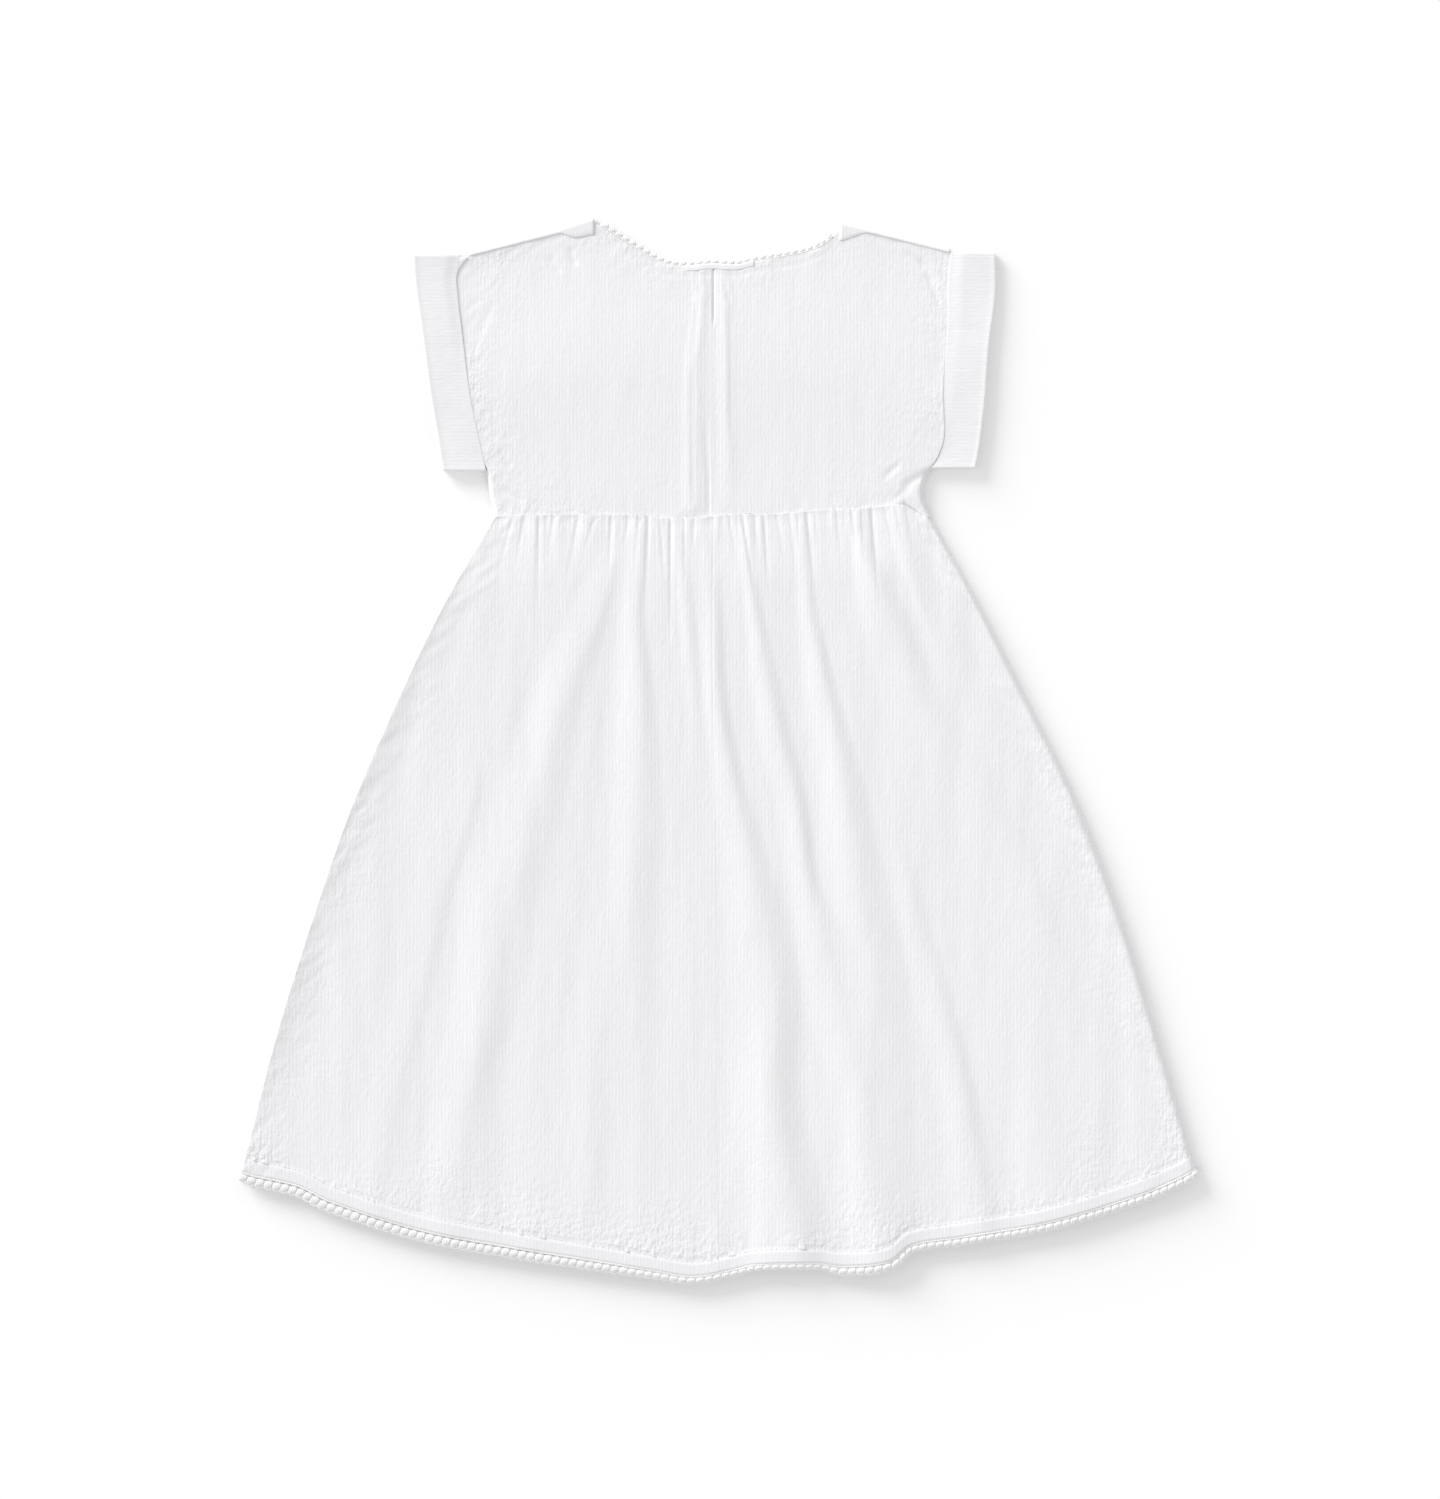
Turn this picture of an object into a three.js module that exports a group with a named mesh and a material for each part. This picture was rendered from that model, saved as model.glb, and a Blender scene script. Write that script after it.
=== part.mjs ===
// A toddler's short-sleeved dress in white crinkled cotton, laid out flat on its front.
// Millimetres. The dress lies on z = 0 with its back up, its neck towards +Y and its left side,
// as seen from above, towards -X. Every piece of cloth is a thin wall, 0.3 mm from its neighbour.
import * as THREE from 'three';

// Cloth and seams
const CLOTH = 1.2;             // wall thickness
const SEAM = 0.3;              // space left between two pieces at a seam or a lap
const BACK_UNDER = CLOTH + SEAM;
const BACK_FACE = BACK_UNDER + CLOTH;
const CENTRE_BACK_X = -2.5;

// Skirt
const HEM_BAND = 8;            // double cloth above the hem edge
const HEM_BAND_RISE = 0.5;
const WAIST_ZONE = 48;         // length over which the short gathers run out
const SIDE_ROLL = { left: 3, right: 0.8, crest: 2, width: 26 };
const SKIRT_LOFT = 3.8;        // how far the back stands off the front away from its edges
const WAIST_LOFT_SHARE = 0.5;  // share of that at the waist seam
const GATHER_LOFT = 2.2;       // extra height of the gathered cloth just below the waist
const HEM_LIFT = 0.8;          // extra height of the cloth at its hem
const GATHER_SHARE = 0.85;     // how far a gather may cut into the relief of the cloth

// Lengths over which the skirt's relief sets in or dies away, from the edge or seam that it names
const SKIRT_EASE = {
  rollBelowWaist: 60, loftBelowWaist: 40, loftFromSide: 4, foldFromSide: 12, hem: 36,
  gatherBelowWaist: 12, gatherStart: 14, gatherEnd: 90, gatherFromSide: 10,
  seamAllowance: 5, seam: 14, shortGatherAllowance: 6, shortGather: 12,
};

// Sleeves and turned-up cuffs, flattened tubes
const CUFF_HEIGHT = 6.8;
const SLEEVE_HEIGHT = 2.6;
const SLEEVE_CLOTH = 1.1;
const SLEEVE_INSET = 1.8;      // how far the sleeve's end stays inside the cuff's fold
const TUBE_SHARES = [0, 0.33, 0.67, 1];
const TUBE_END_ANGLES = [60, 20, -20, -60];   // degrees round each long edge of a tube

// Crochet edging
const PUFF_PITCH = 4.7;
const HEM_PUFFS = 116;
const BACK_NECK_PUFFS = 31;
const FLAT_EDGING_COLUMNS = 44;
const PUFF_RISE = 0.9;
const SCALLOP = 0.7;
const NECK_TRIM_WIDTH = 3.2;
const HEM_TRIM_MARGIN = 0.6;

// Side edges of the skirt: distance down from the waist, and how far each edge lies from x = 0
const SKIRT_SIDES = table(['down', 'left', 'right'], [
  [0, -126.3, 120.5],
  [45, -152.8, 145.6],
  [90, -175.3, 168.1],
  [158, -205.2, 201.4],
  [226, -229.2, 227.3],
  [294, -250.4, 248.2],
  [368, -269.5, 269.7],
]);

// The waist seam from left to right
const WAIST = table(['x', 'y'], [
  [-126.3, 131.7], [-110, 132.8], [-45, 132.8], [-30, 131.3], [-8, 131.3], [4, 133.2],
  [32, 133.4], [59, 135.6], [89, 137.3], [104, 138.6], [113, 134], [120.5, 130.5],
]);

// The cut edge of the hem from left to right, and the width of edging that shows below it
const HEM = table(['x', 'y', 'edging'], [
  [-269.5, -236.5, 5.5],
  [-262, -239, 6.4],
  [-236, -245, 6.8],
  [-219, -253.3, 6.8],
  [-168, -269.6, 6.8],
  [-117, -279.3, 6.8],
  [-66, -287.6, 6],
  [-34, -293, 5],
  [-14, -296, 4.3],
  [8, -292.3, 4],
  [21, -289.4, 3.6],
  [56, -288.6, 3.6],
  [71, -290.3, 5.4],
  [97, -287.2, 5.2],
  [108, -278.6, 4.8],
  [137, -273.8, 5],
  [187, -265.2, 5],
  [238, -249.8, 5],
  [262, -239.5, 5],
  [269.7, -234.3, 4.4],
]);

// Long folds of the back skirt. Each runs down the cloth: distance down from the waist, place of
// its crest, its height there, and the widths of its left and right flanks
const FOLD_COLUMNS = ['down', 'x', 'rise', 'left', 'right'];
const FOLDS = [
  // faint fold near the left side
  [[120, -133, 0, 20, 8], [161, -140, 0.6, 24, 8], [217, -157, 0.6, 24, 9], [330, -183, 0.5, 20, 10],
    [400, -196, 0.3, 18, 12]],
  // broad fold left of the middle
  [[20, -58, 0.2, 8, 5], [59, -69, 0.9, 20, 9], [104, -88, 1.4, 22, 16], [161, -103, 1.8, 27, 19],
    [217, -118, 1.7, 26, 21], [274, -129, 1.4, 25, 20], [330, -143, 1, 20, 18], [400, -157, 0.4, 18, 18]],
  // soft fold that dies out left of the middle
  [[30, -44, 0.6, 9, 5], [59, -46, 1.1, 12, 6], [104, -43, 1.4, 20, 9], [161, -45, 1.2, 25, 16],
    [217, -50, 1.1, 25, 18], [274, -60, 0.8, 25, 28], [360, -72, 0.2, 25, 30]],
  // narrow fold beside the centre seam
  [[20, -21, 0.5, 5, 5], [59, -17, 0.8, 6, 6], [104, -13, 0.4, 7, 6], [150, -10, 0, 8, 8]],
  // central fold, wide at the hem
  [[30, -4, 0.3, 8, 6], [59, -2, 1.1, 10, 6], [104, -0.5, 1.4, 10, 7], [161, 10, 1.6, 14, 9],
    [217, 22, 2.2, 21, 17], [274, 31, 2.6, 28, 18], [330, 30, 2.9, 26, 20], [386, 40, 3.1, 36, 22],
    [430, 44, 3, 38, 20]],
  // fold right of the central one
  [[30, 17, 0.6, 6, 5], [59, 21.5, 1.1, 7, 6], [104, 29, 1.4, 12, 9], [161, 43.5, 1.8, 14, 8],
    [217, 52, 1.7, 14, 9], [274, 68, 1.8, 22, 34], [330, 83, 2.6, 24, 30], [386, 87, 2.9, 24, 27],
    [430, 92, 2.6, 24, 20]],
  // fold with the deepest valley on its right
  [[30, 49, 0.5, 6, 5], [59, 52, 1, 8, 6], [104, 61, 1.8, 14, 8], [161, 71.5, 2.1, 18, 14],
    [217, 79, 2.2, 20, 20], [274, 90, 1.4, 20, 20], [330, 98, 0, 20, 20]],
  // slanting fold from the right end of the waist
  [[12, 80, 0.6, 8, 7], [25, 82, 1.4, 8, 9], [59, 94.5, 1.8, 18, 13], [104, 114, 1.1, 26, 18],
    [161, 150, 0.8, 30, 18], [217, 179, 0.6, 30, 14], [290, 200, 0, 30, 14]],
  // short rise beyond it
  [[12, 104, 0.5, 8, 12], [30, 107, 1.1, 9, 18], [59, 119, 0.7, 9, 22], [110, 140, 0, 12, 24]],
  // lower right folds
  [[190, 102, 0, 12, 10], [217, 108, 0.6, 14, 10], [274, 125, 1.1, 16, 10], [330, 139, 1.4, 18, 10],
    [400, 148, 1.2, 18, 14]],
  [[260, 150, 0, 20, 30], [330, 172, 0.6, 24, 34], [400, 196, 0.7, 28, 34]],
].map((rows) => table(FOLD_COLUMNS, rows));

// Short gathers at the waist seam: place, drift to the side by their end, length, depth, half width
const GATHERS = table(['x', 'drift', 'length', 'depth', 'half'], [
  [-115.5, -8, 30, 1.1, 2.6], [-109.5, -5, 34, 1.3, 2.4], [-101, -1, 58, 2, 3],
  [-92.5, -4, 26, 1.1, 3], [-78.5, -8, 46, 1.1, 4], [-69, -7, 22, 1, 3],
  [-60, -2, 40, 1.8, 3.2], [-50.5, -3, 22, 1.3, 2.4], [-45, -2, 30, 1.4, 2.2],
  [-39.5, -2, 54, 1.8, 2.4], [-33, 3, 40, 1.4, 2.4], [-27, 0, 78, 2.2, 2.2],
  [-19, 0, 52, 1.5, 2], [-13.5, -1, 26, 1, 1.8], [6, 4, 26, 1.3, 2.4],
  [13.5, 8, 50, 2.1, 2.8], [20.5, 2, 22, 1, 2], [25.5, 3, 46, 2, 2.6],
  [33, 4, 28, 1.3, 2.2], [40, 4, 36, 1.3, 2], [44.5, 2, 24, 1, 1.6],
  [49.5, 5, 48, 2, 2.6], [54.5, 2, 22, 1, 1.6], [66.5, 3, 34, 1.1, 2.8],
  [75, 3, 24, 1.3, 2], [80.5, 2, 34, 1.5, 1.8], [86, 5, 60, 2.2, 2.6],
  [93.5, 5, 26, 1.1, 2], [99.5, 5, 24, 1.1, 2], [105.5, 5, 28, 1.1, 2],
  [111.5, 6, 22, 0.8, 2],
]);

// Side edges of the bodice from the waist up to the shoulder, armholes included
const BODICE_LEFT = table(['y', 'x'], [
  [131.7, -126.3], [145, -128.7], [158.5, -130.8], [178.5, -135.3], [201, -139.8],
  [239.4, -144.7], [257.5, -146.8], [270, -146.8], [281.7, -138.1],
]);
const BODICE_RIGHT = table(['y', 'x'], [
  [130, 120.5], [138, 116], [148, 116.2], [156, 119], [168, 125.3], [178, 127.6],
  [201, 127], [242.5, 129.6], [264, 129.8], [282.8, 131.5],
]);

// Shoulder line, armhole to neck point on the left and neck point to armhole on the right
const SHOULDER_LEFT = { end: [-138.1, 281.7], bend: [-89, 294.2], neck: [-71.8, 300] };
const SHOULDER_RIGHT = { neck: [70.4, 297.6], bend: [91.4, 292.7], end: [131.5, 282.8] };
const SHOULDER_RADIUS = CLOTH + SEAM + CLOTH / 2;
const SHOULDER_ANGLES = [-45, 0, 45, 90];     // degrees round the shoulder's fold
const LEAST_LAP = 0.6;

// How far the front's shoulder laps over on to the back, along the shoulder line
const LAPS = {
  left: table(['x', 'lap'], [[-138.1, 1], [-92, 1.2], [-81, 8], [-71.8, 9.6]]),
  right: table(['x', 'lap'], [[70.4, 10.4], [88, 1.2], [131.5, 1]]),
};

// Neckline of the back and of the front
const BACK_NECK = table(['x', 'y'], [
  [-69.6, 297.9], [-55, 288.5], [-46, 283], [-37, 277.5], [-27, 273.6], [-15, 273], [-3, 274],
  [10, 273.4], [20, 275.6], [36, 278.2], [49, 280.8], [58, 284.2], [65, 289.6], [68.6, 295.5],
]);
const FRONT_NECK = table(['x', 'y'], [
  [-69.6, 297.9], [-60, 276], [-45, 260], [-24, 251.5], [0, 249], [24, 251.5], [45, 260],
  [60, 275], [68.6, 295.5],
]);

// Pressed pleats beside the centre back: place of the crest down the bodice
const CENTRE_PLEATS = [
  [[0, -12.6, 0.5, 5, 7], [12, -9.6, 0.6, 5, 6], [30, -10.4, 0.6, 6, 6], [60, -14, 0.6, 7, 9],
    [150, -15, 0.5, 7, 10]],
  [[0, 3, 0.3, 4, 4], [14, 4.4, 0.5, 6, 5], [90, 5.6, 0.5, 7, 6], [125, 5, 0.2, 7, 8],
    [150, 5, 0, 7, 8]],
].map((rows) => table(FOLD_COLUMNS, rows));
const BODICE_LOFT = 2.2;
const BODICE_EASE = {
  edge: 5, belowShoulder: 2, shoulder: 90, waist: 26, waistShare: 0.85,
  pleatAllowance: 3, pleatTop: 8, pleatWaist: 6,
};

// Turned-up cuffs: inner and outer edge from the underarm up to the shoulder
const CUFF_COLUMNS = ['y', 'inner', 'outer'];
const CUFFS = {
  left: table(CUFF_COLUMNS, [
    [157.4, -131.4, -154.4], [178.5, -135.8, -157.8], [201, -140.3, -161.6],
    [239.4, -145.2, -166.8], [262, -147.3, -170], [279.6, -146.4, -171.3],
  ]),
  right: table(CUFF_COLUMNS, [
    [158.8, 123, 144.4], [168, 127, 146.4], [181, 131, 148.2], [199, 130.8, 150.2],
    [227, 130.2, 152.2], [258, 130.6, 156], [280.8, 132.2, 155.8],
  ]),
};

const COTTON = { color: 0xeef0f3, roughness: 0.9, metalness: 0 };
const CROCHET = { color: 0xf3f3f2, roughness: 0.95, metalness: 0 };

// Rows of numbers as objects with named columns
function table(columns, rows) {
  return rows.map((row) => Object.fromEntries(columns.map((name, k) => [name, row[k]])));
}

function clamp01(t) {
  return Math.min(1, Math.max(0, t));
}

function smooth(t) {
  const c = clamp01(t);
  return c * c * (3 - 2 * c);
}

function lerp(a, b, t) {
  return a + (b - a) * t;
}

// Value of one column at a place between the rows, on a curve through them
function read(rows, key, at, column) {
  const last = rows.length - 1;
  if (at <= rows[0][key]) return rows[0][column];
  if (at >= rows[last][key]) return rows[last][column];
  let k = 0;
  while (rows[k + 1][key] < at) k += 1;
  const step = rows[k + 1][key] - rows[k][key];
  const t = (at - rows[k][key]) / step;
  const slope = (i) => {
    const a = rows[Math.max(0, i - 1)];
    const b = rows[Math.min(last, i + 1)];
    return (b[column] - a[column]) / (b[key] - a[key]);
  };
  const tt = t * t;
  const ttt = tt * t;
  return (2 * ttt - 3 * tt + 1) * rows[k][column] + (ttt - 2 * tt + t) * step * slope(k)
    + (3 * tt - 2 * ttt) * rows[k + 1][column] + (ttt - tt) * step * slope(k + 1);
}

// Height of a fold at a point: rounded crest, one flank on each side
function foldHeight(fold, x, down) {
  if (down < fold[0].down && fold[0].rise === 0) return 0;
  const crest = read(fold, 'down', down, 'x');
  const flank = read(fold, 'down', down, x < crest ? 'left' : 'right');
  const rise = Math.max(0, read(fold, 'down', down, 'rise'));
  return rise * smooth(1 - Math.abs(x - crest) / flank);
}

function gatherDepth(x, down) {
  return GATHERS.reduce((depth, gather) => {
    const share = down / gather.length;
    if (share >= 1) return depth;
    const away = Math.abs(x - gather.x - gather.drift * share);
    return depth + gather.depth * smooth(1 - away / gather.half) * (1 - share * share);
  }, 0);
}

// Upper face of the back skirt
function skirtFace(x, y, toSide, toHem) {
  const ease = SKIRT_EASE;
  const down = Math.max(0, read(WAIST, 'x', x, 'y') - y);
  const inward = clamp01((toSide - SIDE_ROLL.crest) / SIDE_ROLL.width);
  const roll = (x < 0 ? SIDE_ROLL.left : SIDE_ROLL.right) * smooth(toSide / SIDE_ROLL.crest)
    * (1 - inward) ** 2 * smooth(down / ease.rollBelowWaist);
  const loft = SKIRT_LOFT * smooth(toSide / ease.loftFromSide)
    * lerp(WAIST_LOFT_SHARE, 1, smooth(down / ease.loftBelowWaist));
  const gathered = GATHER_LOFT * smooth(down / ease.gatherBelowWaist)
    * (1 - smooth((down - ease.gatherStart) / ease.gatherEnd)) * smooth(toSide / ease.gatherFromSide);
  const folds = FOLDS.reduce((sum, fold) => sum + foldHeight(fold, x, down), 0)
    * smooth(toSide / ease.foldFromSide);
  const relief = loft + (roll + gathered + folds) * smooth((down + ease.seamAllowance) / ease.seam);
  const shortGathers = gatherDepth(x, down)
    * smooth((down + ease.shortGatherAllowance) / ease.shortGather);
  const band = toHem <= HEM_BAND ? HEM_BAND_RISE : 0;
  const lifted = HEM_LIFT * (1 - smooth(toHem / ease.hem)) * smooth(relief);
  return BACK_FACE + relief - Math.min(relief * GATHER_SHARE, shortGathers) + band + lifted;
}

// Upper face of the back bodice
function bodiceFace(x, y, toEdge, toShoulder) {
  const ease = BODICE_EASE;
  const down = Math.max(0, read(BACK_NECK, 'x', x, 'y') - y);
  const above = y - read(WAIST, 'x', x, 'y');
  const loft = BODICE_LOFT * smooth(toEdge / ease.edge)
    * smooth((toShoulder - ease.belowShoulder) / ease.shoulder)
    * lerp(ease.waistShare, 1, smooth(above / ease.waist));
  const pleats = CENTRE_PLEATS.reduce((sum, fold) => sum + foldHeight(fold, x, down), 0)
    * smooth((down + ease.pleatAllowance) / ease.pleatTop) * smooth(above / ease.pleatWaist);
  return BACK_FACE + loft + pleats;
}

// A wall of cloth: points come in pairs, one on each face, and rows of them are joined by strips
class Cloth {
  constructor() {
    this.faceA = [];
    this.faceB = [];
    this.triangles = [];
  }

  point(a, b) {
    this.faceA.push(a);
    this.faceB.push(b);
    return this.faceA.length - 1;
  }

  // Joins two rows, seen from face A. Rows of different lengths are matched by their places along x
  strip(upper, lower) {
    const matched = upper.length === lower.length;
    const place = (row, k) => (matched ? k : this.faceA[row[k]]?.x);
    let i = 0;
    let j = 0;
    while (i < upper.length - 1 || j < lower.length - 1) {
      const nextUpper = place(upper, i + 1);
      const nextLower = place(lower, j + 1);
      if (j === lower.length - 1 || (i < upper.length - 1 && nextUpper <= nextLower)) {
        this.triangles.push([upper[i], lower[j], upper[i + 1]]);
        i += 1;
      } else {
        this.triangles.push([upper[i], lower[j], lower[j + 1]]);
        j += 1;
      }
    }
  }

  strips(rows) {
    rows.slice(1).forEach((row, k) => this.strip(rows[k], row));
  }

  // Closed geometry: face A, face B turned over, and a narrow wall along every free edge
  geometry() {
    const count = this.faceA.length;
    const sides = ([a, b, c]) => [`${a} ${b}`, `${b} ${c}`, `${c} ${a}`];
    const used = new Set(this.triangles.flatMap(sides));
    const index = [];
    this.triangles.forEach(([a, b, c]) => {
      index.push(a, b, c, a + count, c + count, b + count);
      [[a, b], [b, c], [c, a]].forEach(([p, q]) => {
        if (!used.has(`${q} ${p}`)) index.push(q, p, p + count, q, p + count, q + count);
      });
    });
    const geometry = new THREE.BufferGeometry();
    const points = [...this.faceA, ...this.faceB].flatMap((p) => p.toArray());
    geometry.setAttribute('position', new THREE.Float32BufferAttribute(points, 3));
    geometry.setIndex(index);
    geometry.computeVertexNormals();
    return geometry;
  }
}

const group = new THREE.Group();
group.name = 'toddler_dress';

function sew(name, cloth, finish) {
  const mesh = new THREE.Mesh(cloth.geometry(), new THREE.MeshStandardMaterial(finish));
  mesh.name = name;
  group.add(mesh);
}

function range(count) {
  return Array.from({ length: count + 1 }, (_, k) => k / count);
}

// Place on the skirt: share across it, distance down from the waist as far as the short gathers
// run, then a share of the rest
function skirtPlace(across, near, share, far) {
  const waistX = lerp(WAIST[0].x, WAIST.at(-1).x, across);
  const hemX = lerp(HEM[0].x, HEM.at(-1).x, across);
  const waistY = read(WAIST, 'x', waistX, 'y') - SEAM / 2;
  const hemY = read(HEM, 'x', hemX, 'y');
  const fixed = WAIST_ZONE + HEM_BAND;
  const drop = near + far + share * (waistY - hemY - fixed);
  const sideY = WAIST[0].y;
  const sideDrop = near + far + share * (sideY - HEM[0].y - fixed);
  const left = read(SKIRT_SIDES, 'down', sideDrop, 'left');
  const right = read(SKIRT_SIDES, 'down', sideDrop, 'right');
  const x = lerp(left, right, across);
  return {
    x, y: waistY - drop, toSide: Math.min(x - left, right - x), toHem: waistY - drop - hemY,
  };
}

const WAIST_ROWS = [0, 4, 10, 18, 30, WAIST_ZONE];
const SKIRT_ROWS = [0.06, 0.13, 0.21, 0.3, 0.39, 0.48, 0.57, 0.66, 0.75, 0.84, 0.92, 1];
const FRONT_ROWS = [0, 0.12, 0.24, 0.36, 0.48, 0.6, 0.72, 0.84, 1];
const BAND_STEP = 0.5;
const WAIST_COLUMNS = 48;      // columns of points across each half of the back, at the waist
const SKIRT_COLUMNS = 26;      // and lower down
const FRONT_COLUMNS = 22;      // columns across the whole front

// Rows of places over part of the skirt's width, close together where the gathers are
function skirtRows(from, to, fine, coarse) {
  const row = (count, near, share, far) => range(count)
    .map((t) => skirtPlace(lerp(from, to, t), near, share, far));
  return [
    ...WAIST_ROWS.map((near) => row(fine, near, 0, 0)),
    ...SKIRT_ROWS.map((share) => row(coarse, WAIST_ZONE, share, share === 1 ? -BAND_STEP : 0)),
    row(coarse, WAIST_ZONE, 1, 0),
    row(coarse, WAIST_ZONE, 1, HEM_BAND),
  ];
}

const CENTRE_SHARE = (CENTRE_BACK_X - WAIST[0].x) / (WAIST.at(-1).x - WAIST[0].x);
const HALF_SEAM_SHARE = SEAM / 2 / (WAIST.at(-1).x - WAIST[0].x);

function skirtBack(name, from, to) {
  const cloth = new Cloth();
  const point = ({ x, y, toSide, toHem }) => {
    const face = skirtFace(x, y, toSide, toHem);
    const under = Math.max(BACK_UNDER, face - CLOTH - (toHem <= HEM_BAND ? HEM_BAND_RISE : 0));
    return cloth.point(new THREE.Vector3(x, y, face), new THREE.Vector3(x, y, under));
  };
  cloth.strips(skirtRows(from, to, WAIST_COLUMNS, SKIRT_COLUMNS).map((row) => row.map(point)));
  sew(name, cloth, COTTON);
}

skirtBack('skirt_back_left', 0, CENTRE_SHARE - HALF_SEAM_SHARE);
skirtBack('skirt_back_right', CENTRE_SHARE + HALF_SEAM_SHARE, 1);

function flatPoint(cloth, x, y) {
  return cloth.point(new THREE.Vector3(x, y, CLOTH), new THREE.Vector3(x, y, 0));
}

function skirtFront() {
  const cloth = new Cloth();
  const row = (near, share, far) => range(FRONT_COLUMNS)
    .map((across) => skirtPlace(across, near, share, far))
    .map(({ x, y }) => flatPoint(cloth, x, y));
  cloth.strips([
    row(0, 0, 0), row(WAIST_ZONE / 2, 0, 0),
    ...FRONT_ROWS.map((share) => row(WAIST_ZONE, share, 0)),
    row(WAIST_ZONE, 1, HEM_BAND),
  ]);
  sew('skirt_front', cloth, COTTON);
}

skirtFront();

// Height of the shoulder line above a place across the bodice
function shoulderY(x) {
  const { end, bend, neck } = x < 0 ? SHOULDER_LEFT : SHOULDER_RIGHT;
  const onOuter = Math.abs(x) > Math.abs(bend[0]);
  const [a, b] = onOuter ? [end, bend] : [bend, neck];
  return lerp(a[1], b[1], clamp01((x - a[0]) / (b[0] - a[0])));
}

// Top edge of a bodice panel: the shoulder's fold beyond the neck points, the neckline between
function bodiceTop(x, neckline) {
  const onNeck = x > neckline[0].x && x < neckline.at(-1).x;
  return onNeck ? read(neckline, 'x', x, 'y') : shoulderY(x) - SHOULDER_RADIUS;
}

// Point of the bodice's side edge, armhole included, at a share of the way down
function bodiceSide(side, share) {
  const y = lerp(side.at(-1).y - SHOULDER_RADIUS, side[0].y, share);
  return { x: read(side, 'y', y, 'x'), y };
}

// Row of places down the bodice, from the columns where its top edge is
function bodiceRow(columns, neckline, share, left, right) {
  const inner = SEAM / 2;
  const leftX = left ?? bodiceSide(BODICE_LEFT, share).x + inner;
  const rightX = right ?? bodiceSide(BODICE_RIGHT, share).x - inner;
  const first = columns[0];
  const last = columns.at(-1);
  return columns.map((topX) => {
    const x = lerp(leftX, rightX, (topX - first) / (last - first));
    const waistY = read(WAIST, 'x', x, 'y') + inner;
    const y = lerp(bodiceTop(topX, neckline), waistY, share);
    const toLeft = left === undefined ? x - leftX : Infinity;
    const toRight = right === undefined ? rightX - x : Infinity;
    return { x, y, toEdge: Math.min(toLeft, toRight), toShoulder: bodiceTop(topX, neckline) - y };
  });
}

const BODICE_ROWS = [0, 0.05, 0.1, 0.18, 0.28, 0.4, 0.52, 0.64, 0.75, 0.83, 0.91];

// The bodice's row at the waist seam, with the skirt's own stations
function bodiceWaistRow(from, to, count) {
  return range(count).map((t) => {
    const { x, y } = skirtPlace(lerp(from, to, t), 0, 0, 0);
    return { x, y: y + SEAM, toEdge: 0, toShoulder: Infinity };
  });
}

function bodiceBack(name, columns, left, right) {
  const cloth = new Cloth();
  const waist = left === undefined
    ? bodiceWaistRow(0, CENTRE_SHARE - HALF_SEAM_SHARE, WAIST_COLUMNS)
    : bodiceWaistRow(CENTRE_SHARE + HALF_SEAM_SHARE, 1, WAIST_COLUMNS);
  const rows = BODICE_ROWS.map((share) => bodiceRow(columns, BACK_NECK, share, left, right));
  const point = ({ x, y, toEdge, toShoulder }) => {
    const face = bodiceFace(x, y, toEdge, toShoulder);
    return cloth.point(new THREE.Vector3(x, y, face), new THREE.Vector3(x, y, face - CLOTH));
  };
  cloth.strips([...rows, waist].map((row) => row.map(point)));
  sew(name, cloth, COTTON);
}

// Columns of points along the top edge of each panel
const LEFT_SHOULDER_X = bodiceSide(BODICE_LEFT, 0).x + SEAM / 2;
const RIGHT_SHOULDER_X = bodiceSide(BODICE_RIGHT, 0).x - SEAM / 2;
const LEFT_CENTRE_X = CENTRE_BACK_X - SEAM / 2;
const RIGHT_CENTRE_X = CENTRE_BACK_X + SEAM / 2;
const NECK_LEFT_COLUMNS = [BACK_NECK[0].x, -58, -46, -36, -27, -21, -17, -13, -9, -6, LEFT_CENTRE_X];
const NECK_RIGHT_COLUMNS = [RIGHT_CENTRE_X, 0, 3, 6, 9, 13, 20, 29, 39, 49, 59, BACK_NECK.at(-1).x];
const FRONT_NECK_COLUMNS = FRONT_NECK.map(({ x }) => x);
const LEFT_COLUMNS = [LEFT_SHOULDER_X, -126, -112, -98, -84, ...NECK_LEFT_COLUMNS];
const RIGHT_COLUMNS = [...NECK_RIGHT_COLUMNS, 84, 100, 116, RIGHT_SHOULDER_X];
bodiceBack('bodice_back_left', LEFT_COLUMNS, undefined, LEFT_CENTRE_X);
bodiceBack('bodice_back_right', RIGHT_COLUMNS, RIGHT_CENTRE_X, undefined);

// Points of one shoulder that follow the cloth over its fold, from the front to the lap on the back
function shoulderLap(cloth, x, lap) {
  const axisY = shoulderY(x) - SHOULDER_RADIUS;
  const round = (radius, angle) => new THREE.Vector3(
    x, axisY + radius * Math.cos(angle), SHOULDER_RADIUS + radius * Math.sin(angle));
  const over = SHOULDER_ANGLES.map((degrees) => {
    const angle = THREE.MathUtils.degToRad(degrees);
    return cloth.point(round(SHOULDER_RADIUS - CLOTH, angle), round(SHOULDER_RADIUS, angle));
  });
  const end = (z) => new THREE.Vector3(x, axisY - Math.max(LEAST_LAP, lap - SHOULDER_RADIUS), z);
  over.push(cloth.point(end(2 * SHOULDER_RADIUS - CLOTH), end(2 * SHOULDER_RADIUS)));
  return over;
}

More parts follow.
